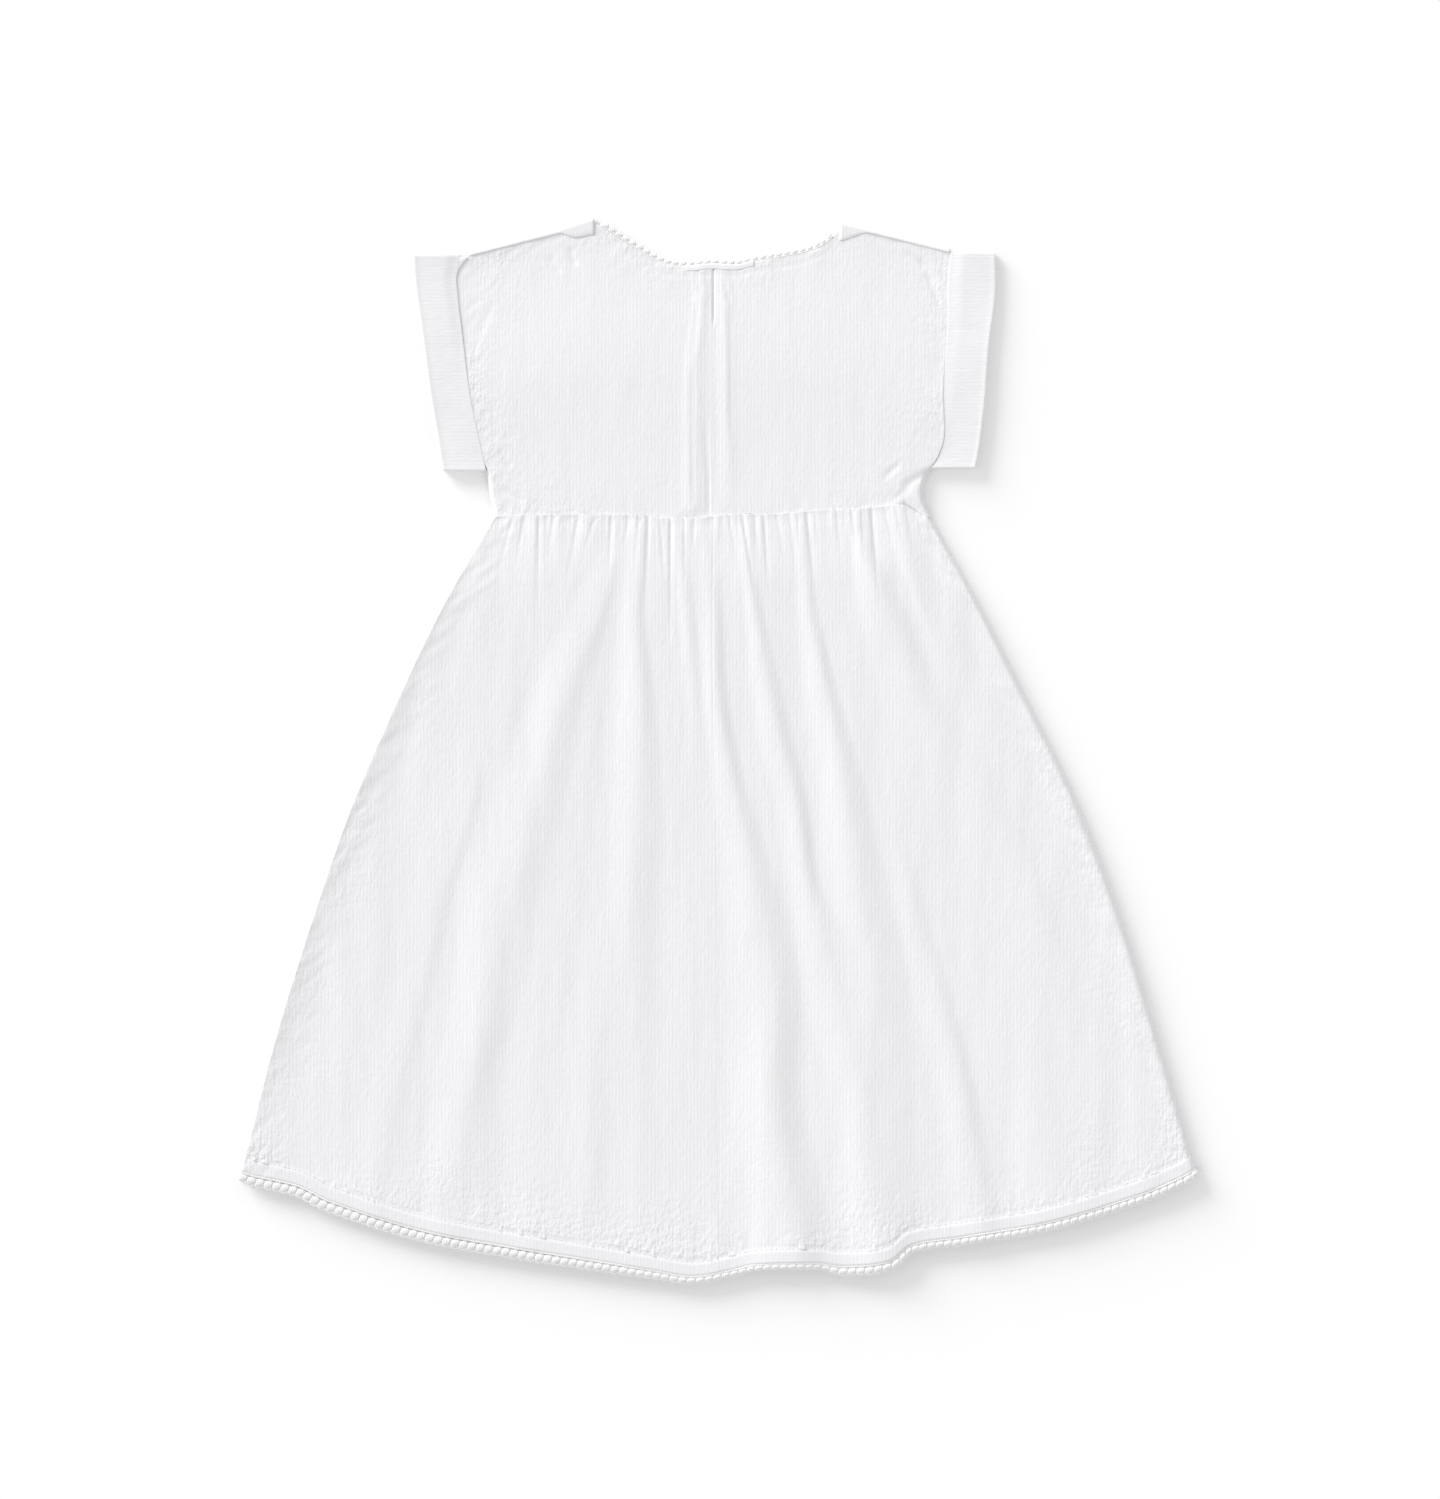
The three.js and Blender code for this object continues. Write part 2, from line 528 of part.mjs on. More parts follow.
function bodiceFront() {
  const cloth = new Cloth();
  const shoulders = {
    left: [LEFT_SHOULDER_X, -122, -106, -92, -86, -81, -75, FRONT_NECK[0].x],
    right: [FRONT_NECK.at(-1).x, 74, 80, 88, 102, 116, RIGHT_SHOULDER_X],
  };
  const columns = [...shoulders.left, ...FRONT_NECK_COLUMNS.slice(1, -1), ...shoulders.right];
  const places = [
    ...BODICE_ROWS.map((share) => bodiceRow(columns, FRONT_NECK, share)),
    bodiceWaistRow(0, 1, FRONT_COLUMNS),
  ];
  const rows = places.map((row) => row.map(({ x, y }) => flatPoint(cloth, x, y)));
  cloth.strips(rows);
  Object.entries(shoulders).forEach(([side, line]) => {
    const first = side === 'left' ? 0 : columns.length - line.length;
    const laps = line.map((x) => shoulderLap(cloth, x, read(LAPS[side], 'x', x, 'lap')));
    const across = laps[0].map((_, k) => laps.map((lap) => lap[k]));
    const base = rows[0].slice(first, first + line.length);
    cloth.strips([...across.reverse(), base]);
  });
  sew('bodice_front', cloth, COTTON);
}

bodiceFront();

// One ring of a flattened tube across a sleeve: round the underarm end, over the upper side, round
// the shoulder end and back. xAt gives the ring's x at each y
function flatRing(stations, radius, xAt) {
  const ring = [];
  const add = (y, z) => ring.push(new THREE.Vector3(xAt(y), y, CUFF_HEIGHT / 2 + z));
  const roundEnd = (y, direction, angles) => angles.forEach((degrees) => {
    const angle = THREE.MathUtils.degToRad(degrees);
    add(y + direction * radius * (Math.cos(angle) - 1), radius * Math.sin(angle));
  });
  const between = stations.slice(1, -1);
  roundEnd(stations[0], -1, TUBE_END_ANGLES.toReversed());
  between.forEach((y) => add(y, radius));
  roundEnd(stations.at(-1), 1, TUBE_END_ANGLES);
  between.reverse().forEach((y) => add(y, -radius));
  return ring;
}

// A flattened tube of cloth along x, with its stations from the underarm up. edge gives its x at a
// share of its length and a station's y
function flatTube(name, stations, edge, height, wall) {
  const cloth = new Cloth();
  const radius = height / 2;
  const rings = TUBE_SHARES.map((share) => {
    const xAt = (y) => edge(share, y);
    const innerStations = [stations[0] + wall, ...stations.slice(1, -1), stations.at(-1) - wall];
    const outer = flatRing(stations, radius, xAt);
    const inner = flatRing(innerStations, radius - wall, xAt);
    const ring = outer.map((p, k) => cloth.point(p, inner[k]));
    return [...ring, ring[0]];
  });
  const rightward = edge(1, stations[0]) > edge(0, stations[0]);
  cloth.strips(rightward ? rings : rings.reverse());
  sew(name, cloth, COTTON);
}

// The sleeve starts at the armhole and ends inside the cuff, which is turned up round it
function sleeveAndCuff(side) {
  const cuff = CUFFS[side];
  const outward = side === 'left' ? -1 : 1;
  const bodiceEdge = side === 'left' ? BODICE_LEFT : BODICE_RIGHT;
  const armhole = BODICE_ROWS.map((share) => bodiceSide(bodiceEdge, share)).reverse();
  const armholeX = (y) => {
    const k = Math.max(1, armhole.findIndex((p) => p.y >= y));
    const [a, b] = [armhole[k - 1], armhole[k]];
    return lerp(a.x, b.x, clamp01((y - a.y) / (b.y - a.y)));
  };
  const stations = (inset) => {
    const [bottom, top] = [cuff[0].y + inset, cuff.at(-1).y - inset];
    const between = armhole.map(({ y }) => y).filter((y) => y > bottom + CLOTH && y < top - CLOTH);
    return [bottom, ...between, top];
  };
  const cuffStart = (y) => outward * Math.max(
    outward * read(cuff, 'y', y, 'inner'), outward * armholeX(y) + 1.5 * SEAM);
  const cuffEdge = (share, y) => lerp(cuffStart(y), read(cuff, 'y', y, 'outer'), share);
  const sleeveEdge = (share, y) => lerp(
    armholeX(y) + outward * SEAM / 2, read(cuff, 'y', y, 'outer') - outward * SLEEVE_INSET, share);
  flatTube(`cuff_${side}`, stations(0), cuffEdge, CUFF_HEIGHT, CLOTH);
  flatTube(`sleeve_${side}`, stations(CLOTH + SEAM), sleeveEdge, SLEEVE_HEIGHT, SLEEVE_CLOTH);
}

sleeveAndCuff('left');
sleeveAndCuff('right');

// Point of an edge of cloth, given by its stations from left to right, at a place across it
function onEdge(stations, x) {
  const k = Math.max(0, Math.min(stations.length - 2, stations.findIndex((p) => p.x > x) - 1));
  const [a, b] = [stations[k], stations[k + 1]];
  const t = clamp01((x - a.x) / (b.x - a.x));
  return { x: lerp(a.x, b.x, t), y: lerp(a.y, b.y, t), face: lerp(a.face, b.face, t) };
}

// Crochet sewn along an edge of cloth. side is 1 where the edging lies above the edge and -1 where it
// lies below, width(x) is how far it reaches, and margin is left bare at each end. With puffs it is a
// row of them, raised on the upper face with a scalloped edge, and without any it is a flat strip
function edging(name, stations, { puffs, side, width, margin }) {
  const cloth = new Cloth();
  const first = stations[0].x + margin;
  const last = stations.at(-1).x - margin;
  const columns = range(puffs * 2 || FLAT_EDGING_COLUMNS).map((share, k) => {
    const x = lerp(first, last, share);
    const edge = onEdge(stations, x);
    const [before, after] = [onEdge(stations, x - PUFF_PITCH), onEdge(stations, x + PUFF_PITCH)];
    const slope = (after.y - before.y) / (2 * PUFF_PITCH);
    const out = new THREE.Vector2(-slope, 1).normalize().multiplyScalar(side);
    const puff = k % 2;
    const full = width(x) - (puffs && !puff ? SCALLOP : 0);
    const reach = (far, z) => new THREE.Vector3(
      edge.x + out.x * far, edge.y + side * SEAM * Math.hypot(1, slope) + out.y * far, z);
    const pair = (far, z) => cloth.point(reach(far, z), reach(far, edge.face - CLOTH));
    const middle = puffs ? [pair(full / 2, edge.face + PUFF_RISE * puff)] : [];
    return [pair(0, edge.face), ...middle, pair(full, edge.face)];
  });
  const across = columns[0].map((_, k) => columns.map((column) => column[k]));
  cloth.strips(side > 0 ? across.reverse() : across);
  sew(name, cloth, CROCHET);
}

// The hem's stations, the same as those of the panel above it
function hemStations(from, to, count, face) {
  return range(count).map((t) => {
    const place = skirtPlace(lerp(from, to, t), WAIST_ZONE, 1, HEM_BAND);
    return { x: place.x, y: place.y, face: face(place) };
  });
}

const hem = { side: -1, width: (x) => read(HEM, 'x', x, 'edging'), margin: HEM_TRIM_MARGIN };
const backHemFace = ({ x, y, toSide }) => skirtFace(x, y, toSide, 0);
edging('hem_edging_back', [
  ...hemStations(0, CENTRE_SHARE - HALF_SEAM_SHARE, SKIRT_COLUMNS, backHemFace),
  ...hemStations(CENTRE_SHARE + HALF_SEAM_SHARE, 1, SKIRT_COLUMNS, backHemFace),
], { ...hem, puffs: HEM_PUFFS });
edging('hem_edging_front', hemStations(0, 1, FRONT_COLUMNS, () => CLOTH), { ...hem, puffs: 0 });

function neckStations(neckline, columns, face) {
  return columns.map((x) => ({ x, y: read(neckline, 'x', x, 'y'), face }));
}

const neck = { side: 1, width: () => NECK_TRIM_WIDTH, margin: NECK_TRIM_WIDTH };
edging('neck_edging_back', neckStations(BACK_NECK, [...NECK_LEFT_COLUMNS, ...NECK_RIGHT_COLUMNS], BACK_FACE),
  { ...neck, puffs: BACK_NECK_PUFFS });
edging('neck_edging_front', neckStations(FRONT_NECK, FRONT_NECK_COLUMNS, CLOTH), { ...neck, puffs: 0 });

export default group;
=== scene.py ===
"""A toddler's short-sleeved dress in white crinkled cotton, laid out flat with its back up.

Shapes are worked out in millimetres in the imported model's frame: z = 0 is the surface that the
dress lies on, +Y runs from the hem to the neck, and +X is to the right as seen from above.
"""
import math

import bpy
import numpy as np
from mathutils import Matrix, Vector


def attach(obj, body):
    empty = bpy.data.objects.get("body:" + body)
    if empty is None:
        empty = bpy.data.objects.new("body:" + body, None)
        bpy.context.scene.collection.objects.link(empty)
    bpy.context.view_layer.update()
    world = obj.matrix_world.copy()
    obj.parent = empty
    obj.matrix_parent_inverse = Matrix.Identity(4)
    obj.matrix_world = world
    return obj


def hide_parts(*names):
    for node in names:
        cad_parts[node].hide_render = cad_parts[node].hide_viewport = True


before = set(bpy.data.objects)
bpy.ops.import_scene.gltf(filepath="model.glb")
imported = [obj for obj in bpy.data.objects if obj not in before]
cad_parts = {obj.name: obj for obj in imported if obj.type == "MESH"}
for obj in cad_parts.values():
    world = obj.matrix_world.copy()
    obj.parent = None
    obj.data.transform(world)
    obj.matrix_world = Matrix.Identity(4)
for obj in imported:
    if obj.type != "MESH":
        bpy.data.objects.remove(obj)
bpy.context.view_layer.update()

MM = 0.001                     # metres in a millimetre

# Cloth, as the solids have it and as it really is
CLOTH = 1.2
SOLID_SEAM = 0.3
BACK_FACE = CLOTH + SOLID_SEAM + CLOTH
CENTRE_BACK_X = -2.5
THIN = 0.55                    # real thickness of the cotton
SEAM = 0.04                    # space left between two pieces of cloth at a seam
CENTRE_SEAM = 0.006
WAIST_SEAM = 0.006

# Skirt
HEM_BAND = 8
HEM_BAND_RISE = 0.5
WAIST_ZONE = 48
SIDE_ROLL = {"left": 1.2, "right": 0.8, "crest": 1, "width": 20}
SIDE_TURN = {"left": 1, "right": 4}    # widths over which the side edges turn down
SKIRT_LOFT = 4.8
WAIST_LOFT_SHARE = 0.8
GATHER_LOFT = 0.25
FOLD_SHARE = 0.74              # height of the long folds, against that of the solids
GATHER_SHARE = 0.85
CREASE_REACH = {"left": 0.5, "right": 1.05}    # flanks of a gather, against those of the solids
CREASE_DEPTH = 0.42
BODICE_LOFT = 2.9

# Cuffs and sleeves, flattened tubes
CUFF_HEIGHT = 5.8
CUFF_CLOSER = {"left": 0.6, "right": 4}   # how far each cuff may reach in towards its armhole
CUFF_SUNK = {"left": 0, "right": 0.6}     # how much lower its inner edge lies than its outer
SLEEVE_HEIGHT = 1.3
SLEEVE_INSET = 1.8
FOLD_REACH = {"over": 0.12, "under": 0.35}   # of a flattened fold, against half its height

# Shoulders, where the front wraps over to the back
FOLD_HEIGHT = BACK_FACE + THIN + 0.1
FOLD_RADIUS = FOLD_HEIGHT / 2
SOLID_FOLD_RADIUS = CLOTH + SOLID_SEAM + CLOTH / 2

# Crochet edging
HEM_PUFFS = 116
NECK_PUFFS = 31
NECK_TRIM_WIDTH = 3.2
NECK_TRIM_MARGIN = 3.2
HEM_TRIM_MARGIN = 0.6


def table(columns, rows):
    """Rows of numbers as named columns."""
    return dict(zip(columns, np.array(rows, float).T))


# Side edges of the skirt: distance down from the waist, and how far each lies from x = 0
SKIRT_SIDES = table(("down", "left", "right"), [
    (0, -126.3, 120.5), (45, -152.8, 145.6), (90, -175.3, 168.1), (158, -205.2, 201.4),
    (226, -229.2, 227.3), (294, -250.4, 248.2), (368, -269.5, 269.7),
])

# The waist seam from left to right
WAIST = table(("x", "y"), [
    (-126.3, 131.7), (-110, 132.8), (-45, 132.8), (-30, 131.3), (-8, 131.3), (4, 133.2),
    (32, 133.4), (59, 135.6), (89, 137.3), (104, 138.6), (113, 134), (120.5, 130.5),
])

# The cut edge of the hem from left to right, and the width of edging that shows below it
HEM = table(("x", "y", "edging"), [
    (-269.5, -236.5, 5.5), (-262, -239, 6.4), (-236, -245, 6.8), (-219, -253.3, 6.8),
    (-168, -269.6, 6.8), (-117, -279.3, 6.8), (-66, -287.6, 6), (-34, -293, 5),
    (-14, -296, 4.3), (8, -292.3, 4), (21, -289.4, 3.6), (56, -288.6, 3.6), (71, -290.3, 5.4),
    (97, -287.2, 5.2), (108, -278.6, 4.8), (137, -273.8, 5), (187, -265.2, 5),
    (238, -249.8, 5), (262, -239.5, 5), (269.7, -234.3, 4.4),
])

# Long folds: distance down from the waist, place of the crest, its height, widths of its flanks
FOLD_COLUMNS = ("down", "x", "rise", "left", "right")
FOLDS = [table(FOLD_COLUMNS, rows) for rows in [
    [(120, -133, 0, 20, 8), (161, -140, 0.6, 24, 8), (217, -157, 0.6, 24, 9),
     (330, -183, 0.5, 20, 10), (400, -196, 0.3, 18, 12)],
    [(20, -58, 0.2, 8, 5), (59, -69, 0.9, 20, 9), (104, -88, 1.4, 22, 16), (161, -103, 1.8, 27, 19),
     (217, -118, 1.7, 26, 21), (274, -129, 1.4, 25, 20), (330, -143, 1, 20, 18),
     (400, -157, 0.4, 18, 18)],
    [(30, -44, 0.6, 9, 5), (59, -46, 1.1, 12, 6), (104, -43, 1.4, 20, 9), (161, -45, 1.2, 25, 16),
     (217, -50, 1.1, 25, 18), (274, -60, 0.8, 25, 28), (360, -72, 0.2, 25, 30)],
    [(20, -21, 0.5, 5, 5), (59, -17, 0.8, 6, 6), (104, -13, 0.4, 7, 6), (150, -10, 0, 8, 8)],
    [(30, -4, 0.3, 8, 6), (59, -2, 1.1, 10, 6), (104, -0.5, 1.4, 10, 7), (161, 10, 1.6, 14, 9),
     (217, 22, 2.2, 21, 17), (274, 31, 2.6, 28, 18), (330, 30, 2.9, 26, 20), (386, 40, 3.1, 36, 22),
     (430, 44, 3, 38, 20)],
    [(30, 17, 0.6, 6, 5), (59, 21.5, 1.1, 7, 6), (104, 29, 1.4, 12, 9), (161, 43.5, 1.8, 14, 8),
     (217, 52, 1.7, 14, 9), (274, 68, 1.8, 22, 34), (330, 83, 2.6, 24, 30), (386, 87, 2.9, 24, 27),
     (430, 92, 2.6, 24, 20)],
    [(30, 49, 0.5, 6, 5), (59, 52, 1, 8, 6), (104, 61, 1.8, 14, 8), (161, 71.5, 2.1, 18, 14),
     (217, 79, 2.2, 20, 20), (274, 90, 1.4, 20, 20), (330, 98, 0, 20, 20)],
    [(12, 80, 0.6, 8, 7), (25, 82, 1.4, 8, 9), (59, 94.5, 1.8, 18, 13), (104, 114, 1.1, 26, 18),
     (161, 150, 0.8, 30, 18), (217, 179, 0.6, 30, 14), (290, 200, 0, 30, 14)],
    [(12, 104, 0.5, 8, 12), (30, 107, 1.1, 9, 18), (59, 119, 0.7, 9, 22), (110, 140, 0, 12, 24)],
    [(190, 102, 0, 12, 10), (217, 108, 0.6, 14, 10), (274, 125, 1.1, 16, 10),
     (330, 139, 1.4, 18, 10), (400, 148, 1.2, 18, 14)],
    [(260, 150, 0, 20, 30), (330, 172, 0.6, 24, 34), (400, 196, 0.7, 28, 34)],
]]

# Short gathers at the waist: place, drift to the side by their end, length, depth, half width
GATHERS = [
    (-115.5, -8, 30, 1.1, 2.6), (-109.5, -5, 34, 1.3, 2.4), (-101, -1, 58, 2, 3),
    (-92.5, -4, 26, 1.1, 3), (-78.5, -8, 46, 1.1, 4), (-69, -7, 22, 1, 3),
    (-60, -2, 40, 1.8, 3.2), (-50.5, -3, 22, 1.3, 2.4), (-45, -2, 30, 1.4, 2.2),
    (-39.5, -2, 54, 1.8, 2.4), (-33, 3, 40, 1.4, 2.4), (-27, 0, 78, 2.2, 2.2),
    (-19, 0, 52, 1.5, 2), (-13.5, -1, 26, 1, 1.8), (6, 4, 26, 1.3, 2.4),
    (13.5, 8, 50, 2.1, 2.8), (20.5, 2, 22, 1, 2), (25.5, 3, 46, 2, 2.6),
    (33, 4, 28, 1.3, 2.2), (40, 4, 36, 1.3, 2), (44.5, 2, 24, 1, 1.6),
    (49.5, 5, 48, 2, 2.6), (54.5, 2, 22, 1, 1.6), (66.5, 3, 34, 1.1, 2.8),
    (75, 3, 24, 1.3, 2), (80.5, 2, 34, 1.5, 1.8), (86, 5, 60, 2.2, 2.6),
    (93.5, 5, 26, 1.1, 2), (99.5, 5, 24, 1.1, 2), (105.5, 5, 28, 1.1, 2),
    (111.5, 6, 22, 0.8, 2),
]

# Side edges of the bodice from the waist up to the shoulder, armholes included
BODICE_LEFT = table(("y", "x"), [
    (131.7, -126.3), (145, -128.7), (158.5, -130.8), (178.5, -135.3), (201, -139.8),
    (239.4, -144.7), (257.5, -146.8), (270, -146.8), (281.7, -138.1),
])
BODICE_RIGHT = table(("y", "x"), [
    (130, 120.5), (138, 116), (148, 116.2), (156, 119), (168, 125.3), (178, 127.6),
    (201, 127), (242.5, 129.6), (264, 129.8), (282.8, 131.5),
])

# Shoulder line from armhole to neck, as x and y of its end, bend and neck point
SHOULDERS = {
    "left": table(("x", "y"), [(-138.1, 281.7), (-89, 294.2), (-71.8, 300)]),
    "right": table(("x", "y"), [(70.4, 297.6), (91.4, 292.7), (131.5, 282.8)]),
}
SHOULDER_LINE = {key: np.concatenate([SHOULDERS["left"][key], SHOULDERS["right"][key]])
                 for key in ("x", "y")}
LAPS = {
    "left": table(("x", "lap"), [(-138.1, 1), (-92, 1.2), (-81, 8), (-71.8, 9.6)]),
    "right": table(("x", "lap"), [(70.4, 10.4), (88, 1.2), (131.5, 1)]),
}

BACK_NECK = table(("x", "y"), [
    (-69.6, 297.9), (-55, 288.5), (-46, 283), (-37, 277.5), (-27, 273.6), (-15, 273),
    (-3, 274), (10, 273.4), (20, 275.6), (36, 278.2), (49, 280.8), (58, 284.2), (65, 289.6),
    (68.6, 295.5),
])
FRONT_NECK = table(("x", "y"), [
    (-69.6, 297.9), (-60, 276), (-45, 260), (-24, 251.5), (0, 249), (24, 251.5), (45, 260),
    (60, 275), (68.6, 295.5),
])

# Pressed pleats beside the centre back
CENTRE_PLEATS = [table(FOLD_COLUMNS, rows) for rows in [
    [(0, -12.6, 0.5, 5, 7), (12, -9.6, 0.6, 5, 6), (30, -10.4, 0.6, 6, 6), (60, -14, 0.6, 7, 9),
     (150, -15, 0.5, 7, 10)],
    [(0, 3, 0.3, 4, 4), (14, 4.4, 0.5, 6, 5), (90, 5.6, 0.5, 7, 6), (125, 5, 0.2, 7, 8),
     (150, 5, 0, 7, 8)],
]]

# Turned-up cuffs: inner and outer edge from the underarm up to the shoulder
CUFFS = {
    "left": table(("y", "inner", "outer"), [
        (157.4, -131.4, -154.4), (178.5, -135.8, -157.8), (201, -140.3, -161.6),
        (239.4, -145.2, -166.8), (262, -147.3, -170), (279.6, -146.4, -171.3),
    ]),
    "right": table(("y", "inner", "outer"), [
        (158.8, 123, 144.4), (168, 127, 146.4), (181, 131, 148.2), (199, 130.8, 150.2),
        (227, 130.2, 152.2), (258, 130.6, 156), (280.8, 132.2, 155.8),
    ]),
}

# Short creases of the bodice: both ends, depth and half width
BODICE_CREASES = [
    (-124.9, 257.5, -139.8, 219.7, 0.25, 1.8),    # beside the left armhole
    (121.1, 158.2, 102.7, 148, 0.7, 1.8),        # under the right arm
    (104, 163, 92, 152, 0.4, 1.6),
    (102.7, 140.4, 114.5, 131.5, 0.8, 1.6),      # tuck at the right end of the waist
    (110, 150, 98, 141, 0.45, 1.6),
    (-96, 279, -88, 268, 0.4, 1.8),              # below the left shoulder's lap
    (-84, 284, -80, 272, 0.45, 1.6),
    (112, 279, 124, 262, 0.5, 2),                # below the right shoulder
    (117, 270, 127, 247, 0.4, 1.8),
    (104, 282, 118, 271, 0.35, 1.8),
    (-122, 148, -108, 139, 0.35, 1.8),           # above the left end of the waist
    (-124, 171, -116, 158, 0.3, 1.6),
    (-12.2, 274, -9.8, 254, 0.6, 0.9),           # edges of the pleats beside the centre back
    (-10.2, 259, -14.6, 218, 0.5, 0.9),
    (-14.6, 228, -14, 131, 0.5, 0.8),
    (3, 268, 7, 250, 0.5, 0.9),
    (6.4, 256, 7.8, 168, 0.5, 0.9),
    (-6.8, 190, -4.4, 118, 0.6, 0.7),            # edge of the closed opening above the waist
]

# Crinkles of the cloth: size across the ribs, size along them, height, seed
CRINKLES = [(9, 40, 0.09, 11), (3.6, 16, 0.06, 12)]
LATTICE = 512


def smooth(t):
    c = np.clip(t, 0, 1)
    return c * c * (3 - 2 * c)


def lerp(a, b, t):
    return a + (b - a) * t


def read(rows, key, at, column):
    """One column of a table at places between its rows, on a curve through them."""
    keys, values = rows[key], rows[column]
    ends = np.arange(len(keys))
    before, after = np.maximum(ends - 1, 0), np.minimum(ends + 1, len(keys) - 1)
    slope = (values[after] - values[before]) / (keys[after] - keys[before])
    at = np.clip(at, keys[0], keys[-1])
    k = np.clip(np.searchsorted(keys, at) - 1, 0, len(keys) - 2)
    step = keys[k + 1] - keys[k]
    t = (at - keys[k]) / step
    tt, ttt = t**2, t**3
    return ((2 * ttt - 3 * tt + 1) * values[k] + (ttt - 2 * tt + t) * step * slope[k]
            + (3 * tt - 2 * ttt) * values[k + 1] + (ttt - tt) * step * slope[k + 1])


def noise(x, y, cell_x, cell_y, seed):
    """Smooth noise from -1 to 1 over the plane, the same for the same seed."""
    lattice = np.random.default_rng(seed).uniform(-1, 1, (LATTICE, LATTICE))
    u, v = x / cell_x + LATTICE / 2, y / cell_y + LATTICE / 2
    i, j = np.floor(u).astype(int), np.floor(v).astype(int)
    s, t = smooth(u - i), smooth(v - j)
    corner = {(a, b): lattice[(i + a) % LATTICE, (j + b) % LATTICE] for a in (0, 1) for b in (0, 1)}
    return lerp(lerp(corner[0, 0], corner[1, 0], s), lerp(corner[0, 1], corner[1, 1], s), t)


def crinkle(across, along):
    """Small uneven relief of the cloth, longer along its ribs than across them."""
    return sum(h * noise(across, along, a, b, seed) for a, b, h, seed in CRINKLES)


def fold_height(fold, x, down):
    crest = read(fold, "down", down, "x")
    flank = np.where(x < crest, read(fold, "down", down, "left"), read(fold, "down", down, "right"))
    rise = np.maximum(0, read(fold, "down", down, "rise"))
    height = rise * smooth(1 - np.abs(x - crest) / flank)
    starts_flat = fold["rise"][0] == 0
    return np.where(starts_flat & (down < fold["down"][0]), 0, height)


def gather_depth(x, down):
    total = np.zeros_like(x)
    for place, drift, length, depth, half in GATHERS:
        share = np.clip(down / length, 0, 1)
        offset = x - place - drift * share
        reach = half * np.where(offset < 0, CREASE_REACH["left"], CREASE_REACH["right"])
        total += depth * np.clip(1 - np.abs(offset) / reach, 0, 1) ** 1.6 * (1 - share)
    return total * CREASE_DEPTH


def crease_depth(creases, x, y):
    """Depth of straight soft troughs, which die out at both ends."""
    total = np.zeros_like(x)
    for x0, y0, x1, y1, depth, half in creases:
        length = math.hypot(x1 - x0, y1 - y0)
        along = ((x - x0) * (x1 - x0) + (y - y0) * (y1 - y0)) / length**2
        away = ((x - x0) * (y1 - y0) - (y - y0) * (x1 - x0)) / length
        total += depth * np.exp(-(away / half) ** 2) * smooth(4 * along) * smooth(4 * (1 - along))
    return total


def by_side(sizes, x):
    """The size that holds left or right of the middle."""
    return np.where(x < 0, sizes["left"], sizes["right"])


def skirt_relief(x, y, to_side):
    """Height of the back skirt above the flat cloth, as the solids have it."""
    down = np.maximum(0, read(WAIST, "x", x, "y") - y)
    inward = np.clip((to_side - SIDE_ROLL["crest"]) / SIDE_ROLL["width"], 0, 1)
    roll = (by_side(SIDE_ROLL, x) * smooth(to_side / SIDE_ROLL["crest"]) * smooth(down / 60)
            * (1 - inward) ** 2 * (1 - 0.8 * smooth((down - 290) / 60)))
    loft = (SKIRT_LOFT * smooth((to_side + 1) / 2)
            * lerp(WAIST_LOFT_SHARE, 1, smooth(down / 40)))
    gathered = (GATHER_LOFT * smooth(down / 12) * (1 - smooth((down - 14) / 90))
                * smooth(to_side / 10))
    folds = FOLD_SHARE * sum(fold_height(fold, x, down) for fold in FOLDS) * smooth(to_side / 12)
    relief = loft + (roll + gathered + folds) * smooth((down + 5) / 14)
    short = gather_depth(x, down) * smooth((down + 6) / 12)
    return relief - np.minimum(relief * GATHER_SHARE, short)


def skirt_detail(x, y, to_side, to_hem):
    """Relief of the back skirt that is too fine for the solids."""
    down = np.maximum(0, read(WAIST, "x", x, "y") - y)
    inside = smooth(to_side / 3)
    ripples = 0.35 * noise(x, y, 15, 110, 21) * smooth(down / 50) * smooth(to_side / 20)
    at_waist = (0.4 * noise(x, y, 2.3, 30, 22) * np.exp(-down / 7)
                + 0.3 * noise(x, y, 4.2, 60, 23) * np.exp(-down / 20)) * smooth((down + 1) / 3)
    slanted = 0.3 * noise(y + 0.7 * np.abs(x), np.abs(x) - 0.7 * y, 4.5, 15, 24)
    at_side = slanted * smooth(1 - to_side / 30)
    above_band = np.maximum(0, to_hem - HEM_BAND)
    at_hem = 0.28 * noise(x, y, 3.4, 14, 25) * np.exp(-above_band / 9) * (to_hem > HEM_BAND)
    stitched = -0.28 * np.exp(-((to_hem - HEM_BAND) / 0.8) ** 2)
    calm = lerp(0.35, 1, smooth((to_hem - HEM_BAND) / 3))
    return (crinkle(x, y) * calm + ripples + at_waist + at_side + at_hem + stitched) * inside


def turn_down(face, distance, width, edge_z):
    """Heights of a face whose edge rounds down to edge_z over the last width of it."""
    near = np.clip(1 - distance / width, 0, 1)
    return edge_z + (face - edge_z) * np.sqrt(1 - near**2)


